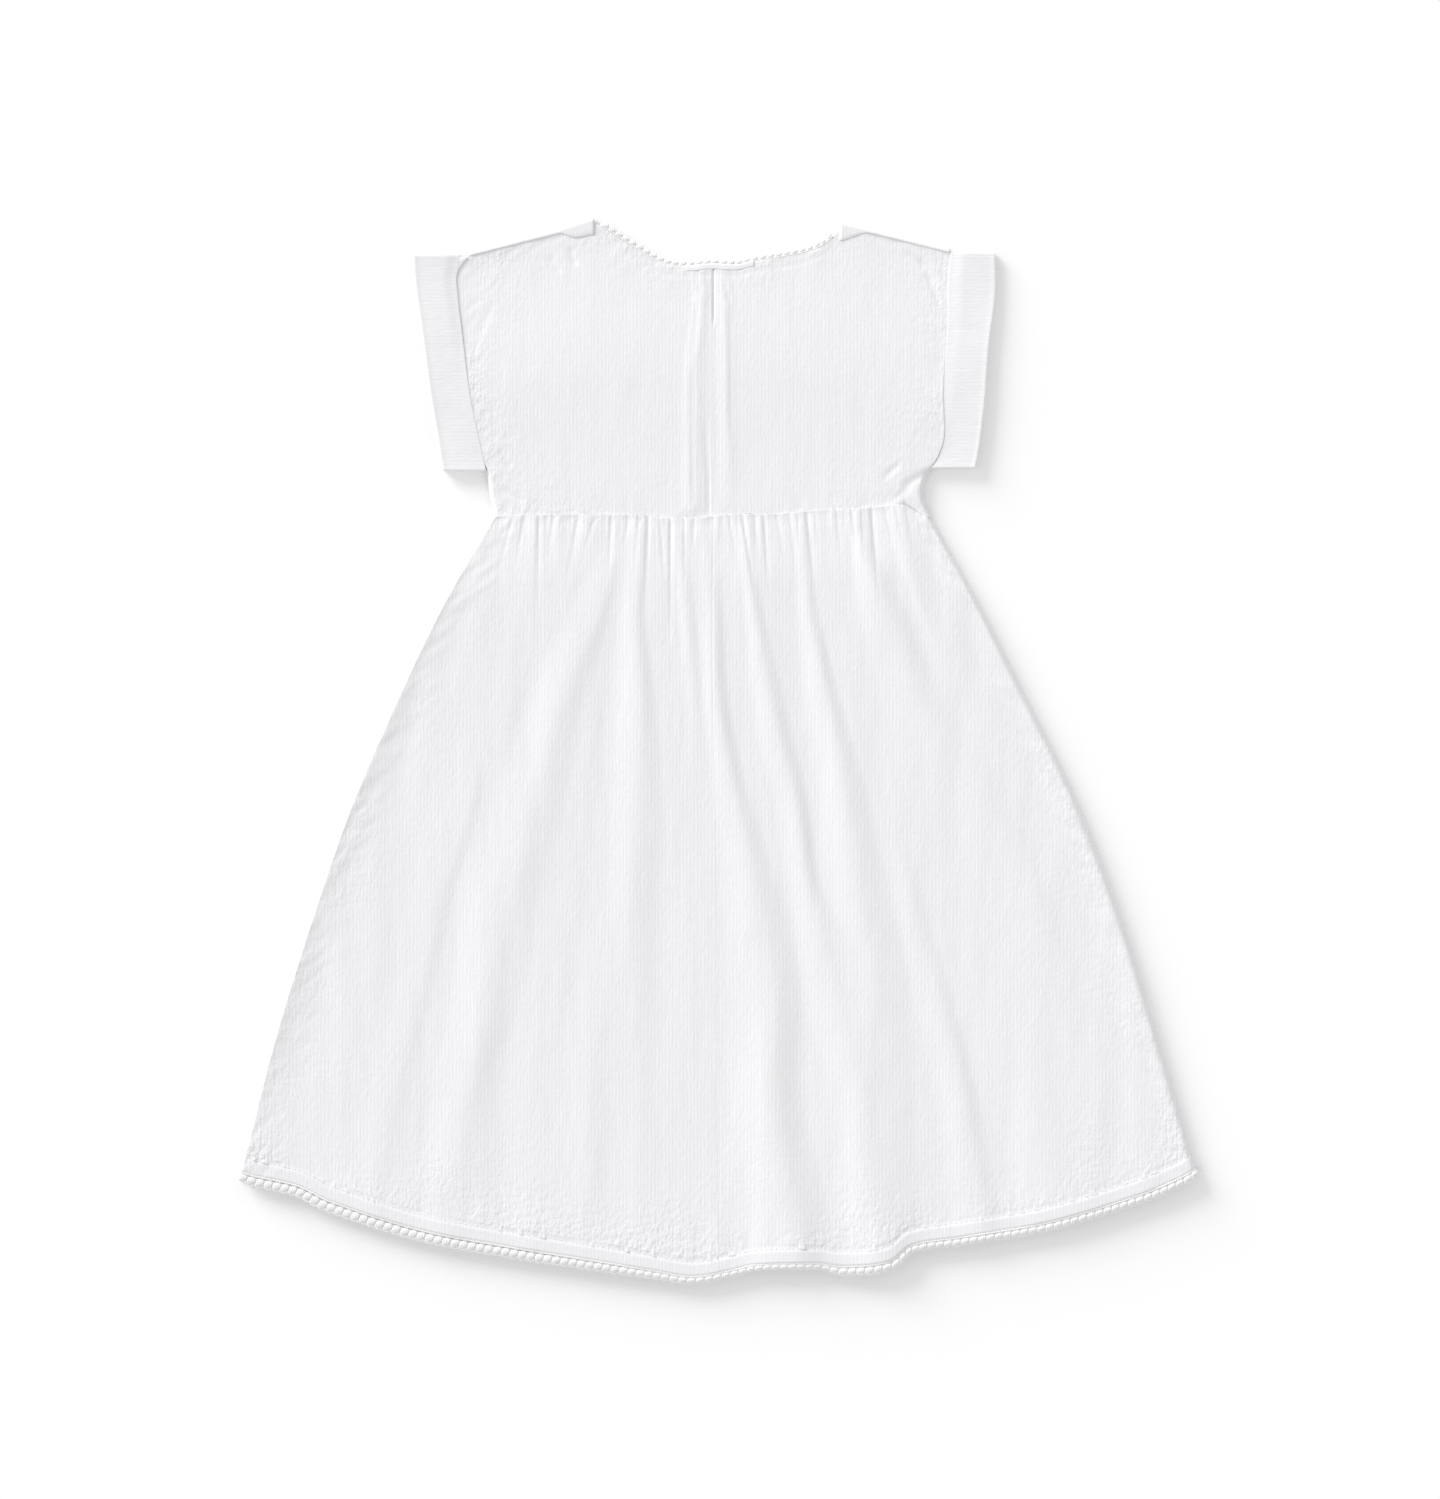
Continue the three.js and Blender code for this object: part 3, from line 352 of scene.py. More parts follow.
def skirt_place(across, near, share, far):
    """Point of the skirt: share across it, then distances and a share of the way down."""
    waist_x = lerp(WAIST["x"][0], WAIST["x"][-1], across)
    hem_x = lerp(HEM["x"][0], HEM["x"][-1], across)
    waist_y = read(WAIST, "x", waist_x, "y") - WAIST_SEAM / 2
    hem_y = read(HEM, "x", hem_x, "y")
    fixed = WAIST_ZONE + HEM_BAND
    drop = near + far + share * (waist_y - hem_y - fixed)
    side_drop = near + far + share * (WAIST["y"][0] - HEM["y"][0] - fixed)
    left = read(SKIRT_SIDES, "down", side_drop, "left")
    right = read(SKIRT_SIDES, "down", side_drop, "right")
    x = lerp(left, right, across)
    y = waist_y - drop
    return x, y, np.minimum(x - left, right - x), waist_y - drop - hem_y


def skirt_rows(near_count, share_count, far_count):
    """Rows down the skirt: near the waist, along its length, and in the hem's band."""
    near = WAIST_ZONE * np.linspace(0, 1, near_count) ** 1.3
    share = np.linspace(0, 1, share_count)[1:]
    far = HEM_BAND * np.sin(np.linspace(0, math.pi / 2, far_count)[1:])
    full = np.ones
    return tuple(part[:, None] for part in (
        np.concatenate([near, WAIST_ZONE * full(len(share) + len(far))]),
        np.concatenate([0 * near, share, full(len(far))]),
        np.concatenate([0 * near, 0 * share, far]),
    ))


EDGE_SHARES = np.array([0, 0.3, 0.7, 1.2, 1.8, 2.5, 3.3]) / 260


def shares(start, end, count):
    """Places across a panel, closer together at both ends."""
    middle = np.linspace(EDGE_SHARES[-1], 1 - EDGE_SHARES[-1], count - 2 * len(EDGE_SHARES) + 2)
    return lerp(start, end, np.concatenate([EDGE_SHARES[:-1], middle, 1 - EDGE_SHARES[-2::-1]]))


CENTRE_SHARE = (CENTRE_BACK_X - WAIST["x"][0]) / (WAIST["x"][-1] - WAIST["x"][0])
HALF_SEAM_SHARE = CENTRE_SEAM / 2 / (WAIST["x"][-1] - WAIST["x"][0])
SIDE_EDGE_Z = 1.2              # height of the side seams, where back and front meet


def skirt_back_points(start, end, columns, rows):
    across = shares(start, end, columns)[None, :]
    x, y, to_side, to_hem = skirt_place(across, *rows)
    down = np.maximum(0, read(WAIST, "x", x, "y") - y)
    face = BACK_FACE + skirt_relief(x, y, to_side) + skirt_detail(x, y, to_side, to_hem)
    to_centre = np.abs(across - CENTRE_SHARE) * (WAIST["x"][-1] - WAIST["x"][0]) * (1 + down / 330)
    groove = 0.1 * (1 - smooth((down - 90) / 60)) * np.exp(-(to_centre / 0.8) ** 2)
    face = face - groove
    face = turn_down(face, to_side, by_side(SIDE_TURN, x), SIDE_EDGE_Z)
    band = HEM_BAND_RISE * smooth((HEM_BAND + 0.4 - to_hem) / 0.8)
    top = turn_down(face + band, to_hem, 0.9, face - 0.3)
    under = np.maximum(face - THIN, THIN + 0.02)
    return np.stack([x, y, np.maximum(top, under + 0.1)], -1), np.stack([x, y, under], -1)


def shell(top, under, wrap=False, open_first=False):
    """Points and quads of a closed sheet between two grids. open_first leaves out its first rim."""
    rows, columns = top.shape[:2]
    count = rows * columns
    index = np.arange(count).reshape(rows, columns)
    if wrap:
        index = np.hstack([index, index[:, :1]])
    upper = np.stack([index[:-1, :-1], index[1:, :-1], index[1:, 1:], index[:-1, 1:]], -1)
    upper = upper.reshape(-1, 4)
    rims = [index[-1, ::-1]]
    if not open_first:
        rims.append(index[0])
    if not wrap:
        rims += [index[::-1, 0], index[:, -1]]
    walls = [np.stack([rim[:-1], rim[1:], rim[1:] + count, rim[:-1] + count], -1) for rim in rims]
    quads = np.concatenate([upper, upper[:, ::-1] + count, *walls])
    points = np.concatenate([top.reshape(-1, 3), under.reshape(-1, 3)])
    return points, quads, np.arange(len(quads)) < 2 * len(upper)


def joined(parts):
    """Several lots of points and quads as one."""
    points, quads, soft, count = [], [], [], 0
    for part_points, part_quads, part_soft in parts:
        points.append(part_points)
        quads.append(part_quads + count)
        soft.append(part_soft)
        count += len(part_points)
    return np.concatenate(points), np.concatenate(quads), np.concatenate(soft)


def make_piece(name, mesh_data, material, replaces=(), pucker=None):
    """A mesh object that rides on the dress's one body, shaded smooth but for the cloth's rims."""
    points, quads, soft = mesh_data
    mesh = bpy.data.meshes.new(name + "_cloth")
    mesh.from_pydata((points * MM).tolist(), [], quads.tolist())
    mesh.polygons.foreach_set("use_smooth", soft)
    mesh.materials.append(material)
    if pucker is not None:
        values = mesh.attributes.new("pucker", "FLOAT", "POINT")
        values.data.foreach_set("value", np.tile(pucker.ravel(), 2))
    piece = bpy.data.objects.new(name + "_cloth", mesh)
    bpy.context.scene.collection.objects.link(piece)
    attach(piece, "root")
    if replaces:
        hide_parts(*replaces)
    return piece


# Materials


class Shader:
    """Short ways to add and join the nodes of one material."""

    def __init__(self, name):
        self.material = bpy.data.materials.new(name)
        self.material.use_nodes = True
        self.tree = self.material.node_tree
        self.surface = self.tree.nodes["Principled BSDF"]

    def put(self, socket, value):
        if isinstance(value, bpy.types.NodeSocket):
            self.tree.links.new(value, socket)
        else:
            socket.default_value = value

    def math(self, operation, a, b=0.0):
        node = self.tree.nodes.new("ShaderNodeMath")
        node.operation = operation
        self.put(node.inputs[0], a)
        self.put(node.inputs[1], b)
        return node.outputs[0]

    def place(self):
        """The object's coordinates in metres, as separate sockets."""
        coordinates = self.tree.nodes.new("ShaderNodeTexCoord")
        parts = self.tree.nodes.new("ShaderNodeSeparateXYZ")
        self.put(parts.inputs[0], coordinates.outputs["Object"])
        return parts.outputs

    def attribute(self, name):
        """A number that the mesh holds at each of its points."""
        node = self.tree.nodes.new("ShaderNodeAttribute")
        node.attribute_name = name
        return node.outputs["Fac"]

    def noise(self, across, along, cell_across, cell_along, detail=2.0):
        """Noise over the cloth with cells of the given size in metres."""
        vector = self.tree.nodes.new("ShaderNodeCombineXYZ")
        self.put(vector.inputs[0], self.math("DIVIDE", across, cell_across))
        self.put(vector.inputs[1], self.math("DIVIDE", along, cell_along))
        node = self.tree.nodes.new("ShaderNodeTexNoise")
        node.inputs["Scale"].default_value = 1.0
        node.inputs["Detail"].default_value = detail
        self.put(node.inputs["Vector"], vector.outputs[0])
        return node.outputs["Fac"]

    def wave(self, place, pitch):
        """A wave from 0 to 1 along a coordinate."""
        turns = self.math("MULTIPLY", place, 2 * math.pi / pitch)
        return self.math("MULTIPLY_ADD", self.math("SINE", turns), 0.5)

    def bump(self, height, distance, below=None):
        node = self.tree.nodes.new("ShaderNodeBump")
        node.inputs["Distance"].default_value = distance
        self.put(node.inputs["Height"], height)
        if below is not None:
            self.put(node.inputs["Normal"], below)
        return node.outputs[0]

    def mix(self, factor, first, second):
        node = self.tree.nodes.new("ShaderNodeMix")
        node.data_type = "RGBA"
        self.put(node.inputs["Factor"], factor)
        node.inputs["A"].default_value = (*first, 1)
        node.inputs["B"].default_value = (*second, 1)
        return node.outputs["Result"]


RIB_PITCH = 2.0 * MM
RIB_BUMP = 0.12 * MM
PUCKER_BUMP = 1.0 * MM
WEAVE_PITCH = 0.42 * MM
# Cotton in painted light and painted shade: the lit colour goes on the tops of ribs and crinkles, the
# shaded one in their hollows
COTTON_PAINTED_LIT = (0.87, 0.87, 0.885)
COTTON_PAINTED_SHADE = (0.82, 0.82, 0.835)


def cotton(name, across_axis, rib_bump):
    """White crinkled cotton, with painted shade in the hollows of its ribs and crinkles. Its ribs lie
    side by side along the given axis of the object.
    """
    shader = Shader(name)
    place = shader.place()
    across, along = place[across_axis], place[1 - across_axis]
    wobble = shader.noise(across, along, 6 * MM, 24 * MM)
    rib_place = shader.math("MULTIPLY_ADD", wobble, 1.1 * MM)
    shader.put(rib_place.node.inputs[2], across)
    ribs = shader.wave(rib_place, RIB_PITCH)
    shader.put(ribs.node.inputs[2], 0.5)
    patches = shader.math("POWER", shader.noise(across, along, 5 * MM, 11 * MM, 3.0), 2.0)
    broken = shader.math("MULTIPLY", ribs, patches)
    blisters = shader.noise(across, along, 1.7 * MM, 4.5 * MM, 3.0)
    puckers = shader.math("MULTIPLY", shader.noise(across, along, 2.6 * MM, 3.8 * MM, 3.0),
                          shader.attribute("pucker"))
    weave = shader.math("MULTIPLY", shader.wave(across, WEAVE_PITCH), shader.wave(along, WEAVE_PITCH))
    normal = shader.bump(broken, rib_bump)
    normal = shader.bump(blisters, 0.15 * MM, normal)
    normal = shader.bump(weave, 0.02 * MM, normal)
    normal = shader.bump(puckers, PUCKER_BUMP, normal)
    surface = shader.surface
    shader.put(surface.inputs["Normal"], normal)
    # Painted shade: darker in the hollows between the ribs and the blisters and lighter on their tops, in
    # patches that come and go at random
    painted_lit_share = shader.math("MULTIPLY_ADD", broken, 1.6)
    shader.put(painted_lit_share.node.inputs[2], shader.math("MULTIPLY", blisters, 0.5))
    shader.put(surface.inputs["Base Color"], shader.mix(painted_lit_share, COTTON_PAINTED_SHADE, COTTON_PAINTED_LIT))
    surface.inputs["Roughness"].default_value = 0.88
    surface.inputs["Sheen Weight"].default_value = 0.12
    surface.inputs["Sheen Roughness"].default_value = 0.5
    surface.inputs["Specular IOR Level"].default_value = 0.25
    return shader.material


def yarn_material(name, fuzz_painted_shade, fuzz_painted_lit):
    """Twisted cotton yarn, with painted shade in the hollows of its fuzz."""
    shader = Shader(name)
    place = shader.place()
    twist = shader.math("ADD", place[0], place[1])
    strands = shader.wave(twist, 0.55 * MM)
    shader.put(strands.node.inputs[2], 0.5)
    fuzz = shader.noise(place[0], place[1], 0.5 * MM, 0.5 * MM, 3.0)
    normal = shader.bump(strands, 0.06 * MM)
    surface = shader.surface
    shader.put(surface.inputs["Normal"], shader.bump(fuzz, 0.05 * MM, normal))
    # Painted shade: the same noise that raises the fuzz turns the colour from the shaded one in its
    # hollows to the lit one on its tops
    shader.put(surface.inputs["Base Color"], shader.mix(fuzz, fuzz_painted_shade, fuzz_painted_lit))
    surface.inputs["Roughness"].default_value = 0.9
    surface.inputs["Sheen Weight"].default_value = 0.15
    surface.inputs["Specular IOR Level"].default_value = 0.25
    return shader.material


LENGTHWISE_COTTON = cotton("cotton_lengthwise", 0, RIB_BUMP)
CROSSWISE_COTTON = cotton("cotton_crosswise", 1, 0.5 * RIB_BUMP)
# For each yarn, the first colour is its painted shade and the second its painted light
CROCHET_YARN = yarn_material("crochet_yarn", (0.94, 0.94, 0.945), (0.985, 0.985, 0.99))
SEWING_THREAD = yarn_material("sewing_thread", (0.76, 0.765, 0.775), (0.82, 0.825, 0.83))


# Skirt


SKIRT_COLUMNS = 170            # points across half of the back skirt


def skirt_pucker(x, y, to_side, to_hem):
    """How much the cloth is puckered: beside the side seams, at the waist and above the hem."""
    down = np.maximum(0, read(WAIST, "x", x, "y") - y)
    above_band = np.maximum(0, to_hem - HEM_BAND)
    patchy = 0.5 + 0.5 * noise(x, y, 26, 26, 26)
    return (0.7 * np.exp(-to_side / 18) + 1.5 * np.exp(-above_band / 20) * (to_hem > HEM_BAND)
            + 0.5 * np.exp(-down / 6) + 0.06) * patchy + 0.02


def skirt_back(name, start, end):
    rows = skirt_rows(40, 140, 12)
    pucker = skirt_pucker(*skirt_place(shares(start, end, SKIRT_COLUMNS)[None, :], *rows))
    data = shell(*skirt_back_points(start, end, SKIRT_COLUMNS, rows))
    piece = make_piece(name, data, LENGTHWISE_COTTON, [name], pucker)
    return piece


skirt_back("skirt_back_left", 0, CENTRE_SHARE - HALF_SEAM_SHARE)
skirt_back("skirt_back_right", CENTRE_SHARE + HALF_SEAM_SHARE, 1)


def pressed(across, along):
    """Slight hollows in the underside of cloth that rests flat."""
    return 0.3 + np.minimum(crinkle(across, along), 0.3) / 2


def front_layers(x, y, to_side):
    """Both faces of a front panel that lies on the surface, turned up at its side edges."""
    lift = (SIDE_EDGE_Z - 2 * THIN - 0.1) * (1 - np.sqrt(np.clip(to_side / 2.6, 0, 1)))
    hollow = pressed(x, y) * smooth(to_side / 6) * 0.4
    under = np.stack([x, y, hollow + lift], -1)
    return under + (0, 0, THIN), under


def skirt_front():
    x, y, to_side, to_hem = skirt_place(shares(0, 1, 150)[None, :], *skirt_rows(12, 50, 6))
    down = np.maximum(0, read(WAIST, "x", x, "y") - y)
    top, under = front_layers(x, y, np.minimum(to_side, to_hem + 2))
    tucks = 0.45 * (0.5 + 0.5 * noise(x, y, 3.6, 60, 31)) * np.exp(-down / 25) * smooth(to_side / 8)
    for layer in (top, under):
        layer[..., 2] += tucks
    piece = make_piece("skirt_front", shell(top, under), LENGTHWISE_COTTON, ["skirt_front"])


skirt_front()


# Bodice


def shoulder_y(side, x):
    return np.interp(x, SHOULDERS[side]["x"], SHOULDERS[side]["y"])


def bodice_top(x, neckline, radius):
    """Height of a panel's top edge: the shoulder's fold beyond the neck points, or the neckline."""
    on_left = shoulder_y("left", x) - radius
    on_right = shoulder_y("right", x) - radius
    on_neck = read(neckline, "x", x, "y")
    return np.where(x <= neckline["x"][0], on_left, np.where(x >= neckline["x"][-1], on_right, on_neck))


def bodice_side(side, share):
    """Point of the bodice's side edge, armhole included, at a share of the way down."""
    y = lerp(side["y"][-1] - SOLID_FOLD_RADIUS, side["y"][0], share)
    return read(side, "y", y, "x"), y


def bodice_places(columns, neckline, rows, left, right, radius):
    """Grid of places on a bodice panel, from where its columns meet its top edge."""
    share = rows[:, None]
    left_x = bodice_side(BODICE_LEFT, share)[0] + SEAM / 2 if left is None else left + 0 * share
    right_x = bodice_side(BODICE_RIGHT, share)[0] - SEAM / 2 if right is None else right + 0 * share
    across = ((columns - columns[0]) / (columns[-1] - columns[0]))[None, :]
    x = lerp(left_x, right_x, across)
    waist_y = read(WAIST, "x", x, "y") + WAIST_SEAM / 2
    top = bodice_top(columns, neckline, radius)[None, :]
    y = lerp(top, waist_y, share)
    to_left = x - left_x if left is None else np.full_like(x, 1e3)
    to_right = right_x - x if right is None else np.full_like(x, 1e3)
    return x, y, np.minimum(to_left, to_right), top - y


def at_armhole(y):
    """1 beside the armhole and 0 below it, where the side seam is."""
    return smooth((y - 154) / 8)


def bodice_relief(x, y, to_edge):
    down = np.maximum(0, read(BACK_NECK, "x", x, "y") - y)
    above = y - read(WAIST, "x", x, "y")
    at_edge = lerp(smooth((to_edge + 1) / 3), 1, at_armhole(y))
    to_shoulder = np.interp(x, SHOULDER_LINE["x"], SHOULDER_LINE["y"]) - y
    loft = BODICE_LOFT * at_edge * smooth((to_shoulder - 2) / 90) * lerp(1.12, 1, smooth(above / 40))
    pleats = sum(fold_height(fold, x, down) for fold in CENTRE_PLEATS)
    return loft + pleats * smooth((down + 3) / 8) * smooth(above / 6)


def bodice_detail(x, y, to_edge, to_top):
    above = y - read(WAIST, "x", x, "y")
    at_waist = 0.22 * noise(x, y, 3.4, 14, 41) * np.exp(-above / 6)
    slanted = noise(y + 0.8 * np.abs(x), np.abs(x) - 0.8 * y, 4.2, 13, 42)
    puckers = 0.26 * slanted * np.maximum(np.exp(-to_edge / 10), np.exp(-to_top / 9))
    facing = -0.16 * np.exp(-((to_top - 5.5) / 0.9) ** 2) * (np.abs(x) < 66)
    creases = crease_depth(BODICE_CREASES, x, y)
    calm = smooth(to_edge / 3) * smooth(above / 2) * smooth((to_top + 0.5) / 2)
    return (0.8 * crinkle(x, y) + at_waist + puckers + facing) * calm - creases


BODICE_COLUMNS = 110           # points across half of the back bodice
BODICE_ROWS = np.concatenate([[0, 0.002, 0.005, 0.009], np.linspace(0.014, 0.986, 112),
                              [0.991, 0.995, 0.998, 1]])
LEFT_SHOULDER_X = bodice_side(BODICE_LEFT, 0)[0] + SEAM / 2
RIGHT_SHOULDER_X = bodice_side(BODICE_RIGHT, 0)[0] - SEAM / 2


def bodice_back(name, columns, left, right):
    places = bodice_places(columns, BACK_NECK, BODICE_ROWS, left, right, FOLD_RADIUS)
    x, y, to_edge, to_top = places
    above = y - read(WAIST, "x", x, "y")
    face = BACK_FACE + bodice_relief(x, y, to_edge) + bodice_detail(*places)
    to_centre = np.abs(x - CENTRE_BACK_X)
    slit = 0.9 * smooth((y - 238) / 8) * np.exp(-(to_centre / 0.6) ** 2)
    face = face - slit
    face = turn_down(face, to_edge, 1.2, lerp(SIDE_EDGE_Z + 1, face - 0.1, at_armhole(y)))
    face = turn_down(face, to_top, 0.7, face - 0.3)
    under = np.maximum(face - THIN, THIN + 0.05)
    grids = np.stack([x, y, face], -1), np.stack([x, y, under], -1)
    patchy = 0.5 + 0.5 * noise(x, y, 24, 24, 43)
    pucker = (0.9 * np.exp(-to_edge / 16) + 0.8 * np.exp(-to_top / 12)
              + 0.4 * np.exp(-above / 10) + 0.05) * patchy + 0.02
    piece = make_piece(name, shell(*grids), LENGTHWISE_COTTON, [name], pucker)
    return piece


CENTRE_LEFT_X, CENTRE_RIGHT_X = CENTRE_BACK_X - CENTRE_SEAM / 2, CENTRE_BACK_X + CENTRE_SEAM / 2
bodice_back("bodice_back_left", shares(LEFT_SHOULDER_X, CENTRE_LEFT_X, BODICE_COLUMNS),
            None, CENTRE_LEFT_X)
bodice_back("bodice_back_right", shares(CENTRE_RIGHT_X, RIGHT_SHOULDER_X, BODICE_COLUMNS),
            CENTRE_RIGHT_X, None)


def shoulder_wrap(side, x):
    """Both faces of the cloth that goes over one shoulder, from the front's edge to the lap."""
    axis_y = shoulder_y(side, x) - FOLD_RADIUS
    lap = np.maximum(0.8, read(LAPS[side], "x", x, "lap") - FOLD_RADIUS)
    rows = []
    for angle in np.radians(np.linspace(-90, 90, 13)):
        for radius in (FOLD_RADIUS, FOLD_RADIUS - THIN):
            y = axis_y + radius * np.cos(angle)
            rows.append(np.stack([x, y, FOLD_RADIUS + radius * np.sin(angle) + 0 * x], -1))
    for share in np.linspace(0.15, 1, 7):
        y = axis_y - lap * share
        fall = 0.35 * smooth((share - 0.7) / 0.3) + 0.1 * noise(x, y, 4, 4, 51) * share
        for height in (FOLD_HEIGHT, FOLD_HEIGHT - THIN):
            rows.append(np.stack([x, y, height - fall], -1))
    return np.array(rows[0::2])[::-1], np.array(rows[1::2])[::-1]


def bodice_front():
    shoulders = {
        "left": np.linspace(LEFT_SHOULDER_X, FRONT_NECK["x"][0], 44),
        "right": np.linspace(FRONT_NECK["x"][-1], RIGHT_SHOULDER_X, 40),
    }
    neck = np.linspace(FRONT_NECK["x"][0], FRONT_NECK["x"][-1], 60)[1:-1]
    columns = np.concatenate([shoulders["left"], neck, shoulders["right"]])
    rows = np.linspace(0, 1, 60)
    x, y, to_edge, to_top = bodice_places(columns, FRONT_NECK, rows, None, None, FOLD_RADIUS)
    top, under = front_layers(x, y, np.where(y < 156, to_edge, 1e3))
    flat = smooth(to_top / 4)
    top[..., 2] = lerp(THIN, top[..., 2], flat)
    under[..., 2] = lerp(0, under[..., 2], flat)
    parts = [shell(top, under)]
    for side, line in shoulders.items():
        parts.append(shell(*shoulder_wrap(side, line)))
    piece = make_piece("bodice_front", joined(parts), LENGTHWISE_COTTON, ["bodice_front"])
    return piece


bodice_front()


# Sleeves and cuffs


def tube_wall(along):
    """Places round the section of a tube's wall: share of its length, side (1 is outer and -1 is
    inner), and how far the lip reaches past the end."""
    share = np.linspace(0, 1, along)
    lip = np.radians(np.linspace(0, 180, 7)[1:-1])
    return (np.concatenate([share, np.ones(5), share[::-1], np.zeros(5)]),
            np.concatenate([np.ones(along), np.cos(lip), -np.ones(along), -np.cos(lip)]),
            np.concatenate([0 * share, np.sin(lip), 0 * share, -np.sin(lip)]))


def tube_ring(low, high, radius, count):
    """Places round a flattened ring: y, height from its middle, and direction along its height."""
    angles = np.radians(np.linspace(-90, 90, 13))
    flat = np.linspace(0, 1, count)[1:-1]
    reach = radius * np.where(angles > 0, FOLD_REACH["over"], FOLD_REACH["under"])
    over, under = reach[-1], reach[0]
    y = np.concatenate([low + reach * (1 - np.cos(angles)), lerp(low + over, high - over, flat),
                        high - (reach * (1 - np.cos(angles)))[::-1],
                        lerp(high - under, low + under, flat)])
    z = np.concatenate([radius * np.sin(angles), 0 * flat + radius, -radius * np.sin(angles),
                        0 * flat - radius])
    return y, z


def flat_tube(low, high, edge, height, outward, along, around, relief):
    """A flattened tube of cloth with rounded lips. edge gives x at a share of its length and a y."""
    rows = []
    middle = height / 2
    for share, side, lip in zip(*tube_wall(along)):
        inset = (1 - side) / 2 * THIN
        y, z = tube_ring(low + inset, high - inset, middle - inset, around)
        x = edge(share, y) + outward * lip * THIN / 2
        lifted = relief(x, y, share) * smooth((z + middle) / height) * smooth(z / middle * 2)
        rows.append(np.stack([x, y, CUFF_HEIGHT / 2 + z + lifted], -1))
    grid = np.array(rows if outward > 0 else rows[::-1])
    count = grid.shape[0] * grid.shape[1]
    index = np.arange(count).reshape(grid.shape[:2])
    index = np.vstack([index, index[:1]])
    index = np.hstack([index, index[:, :1]])
    quads = np.stack([index[:-1, :-1], index[1:, :-1], index[1:, 1:], index[:-1, 1:]], -1)
    quads = quads.reshape(-1, 4)
    return grid.reshape(-1, 3), quads, np.full(len(quads), True)


def cuff_relief(x, y, share, low, high, sunk):
    """Small waves of the turned-up cloth, whose folds stand up a little."""
    waves = 0.2 * noise(x, y, 16, 22, 61) + 0.6 * crinkle(y, x)
    ridges = 0.2 * smooth((share - 0.9) / 0.08) + 0.4 * np.exp(-(y - low) / 2.5)
    at_top = 1 - smooth((high - y) / 85)
    lowered = (1.3 + 0.9 * (1 - smooth(3 * share))) * at_top + sunk * (1 - share) * (1 - at_top)
    return waves * smooth(4 * share) + ridges - lowered


def sleeve_and_cuff(side):
    cuff = CUFFS[side]
    outward = -1 if side == "left" else 1
    edge_rows = BODICE_LEFT if side == "left" else BODICE_RIGHT
    low, high = cuff["y"][0], cuff["y"][-1]

    def cuff_edge(share, y):
        armhole = outward * read(edge_rows, "y", y, "x") + 0.15
        inner = outward * np.maximum(outward * read(cuff, "y", y, "inner") - CUFF_CLOSER[side], armhole)
        return lerp(inner, read(cuff, "y", y, "outer"), share)

    def sleeve_edge(share, y):
        armhole = read(edge_rows, "y", y, "x") + outward * SEAM
        return lerp(armhole, read(cuff, "y", y, "outer") - outward * SLEEVE_INSET, share)

    data = flat_tube(low, high, cuff_edge, CUFF_HEIGHT, outward, 26, 110,
                     lambda x, y, share: cuff_relief(x, y, share, low, high, CUFF_SUNK[side]))
    piece = make_piece(f"cuff_{side}", data, CROSSWISE_COTTON, [f"cuff_{side}"])
    inset = CLOTH + SOLID_SEAM
    data = flat_tube(low + inset, high - inset, sleeve_edge, SLEEVE_HEIGHT, outward, 12, 60,
                     lambda x, y, share: 0 * x)
    piece = make_piece(f"sleeve_{side}", data, CROSSWISE_COTTON, [f"sleeve_{side}"])


sleeve_and_cuff("left")
sleeve_and_cuff("right")


# Crochet


def yarns(paths, radius, sides=6):
    """Round strands along paths, an array of strands by points by x, y and z."""
    strands, steps = paths.shape[:2]
    tangent = np.gradient(paths, axis=1)
    tangent /= np.linalg.norm(tangent, axis=-1, keepdims=True)
    across = np.cross(tangent, (0, 0, 1))
    across /= np.linalg.norm(across, axis=-1, keepdims=True)
    up = np.cross(across, tangent)
    angle = np.arange(sides) * 2 * math.pi / sides
    ring = (across[:, :, None] * np.cos(angle)[:, None] + up[:, :, None] * np.sin(angle)[:, None])
    points = paths[:, :, None] + radius * ring
    index = np.arange(strands * steps * sides).reshape(strands, steps, sides)
    looped = np.concatenate([index, index[:, :, :1]], 2)
    walls = np.stack([looped[:, :-1, :-1], looped[:, :-1, 1:], looped[:, 1:, 1:], looped[:, 1:, :-1]], -1)
    first, last = index[:, 0], index[:, -1]
    caps = [first[:, [3, 2, 1, 0]], first[:, [5, 4, 3, 0]], last[:, [0, 1, 2, 3]], last[:, [0, 3, 4, 5]]]
    quads = np.concatenate([walls.reshape(-1, 4), *caps])
    return points.reshape(-1, 3), quads, np.full(len(quads), True)


# Places of the ground's strands across the edging, of which the front's is seen only from below
GROUND_ROWS = {"back": (0.3, 0.46, 0.6, 0.76), "front": (0.36, 0.68)}
TWIST_PITCH = 2.8
TWIST_STEP = 0.58


def twist(trim, length, out, height, size, radius):
    """Two strands twisted round each other along an edging. out and height are functions of s."""
    s = np.arange(0, length, TWIST_STEP)
    paths = []
    for start in (0, math.pi):
        turn = 2 * math.pi * s / TWIST_PITCH + start
        paths.append(trim(s, out(s) + size * np.cos(turn), height(s) + size * np.sin(turn)))
    return yarns(np.array(paths), radius)


def puff_strands(trim, centres, width, count, lean, fat):
    """Puffs of yarn across an edging, each a few strands that part in their middle."""
    t = np.linspace(0, 1, 9)[None, None, :]
    centre = centres[:, None, None]
    reach = width(centres)[:, None, None]
    which = (np.arange(count) - (count - 1) / 2)[None, :, None]
    s = centre + lean * (t - 0.5) + which * fat * (0.35 + 0.65 * np.sin(math.pi * t))
    out = lerp(0.16, 0.86, t) * reach + 0 * which
    rise = -0.4 + 1.0 * np.sin(math.pi * t) * (1 - 0.12 * np.abs(which)) + 0 * centre
    paths = trim(s, out, rise)
    return yarns(paths.reshape(-1, t.size, 3), 0.5 * fat + 0.1)


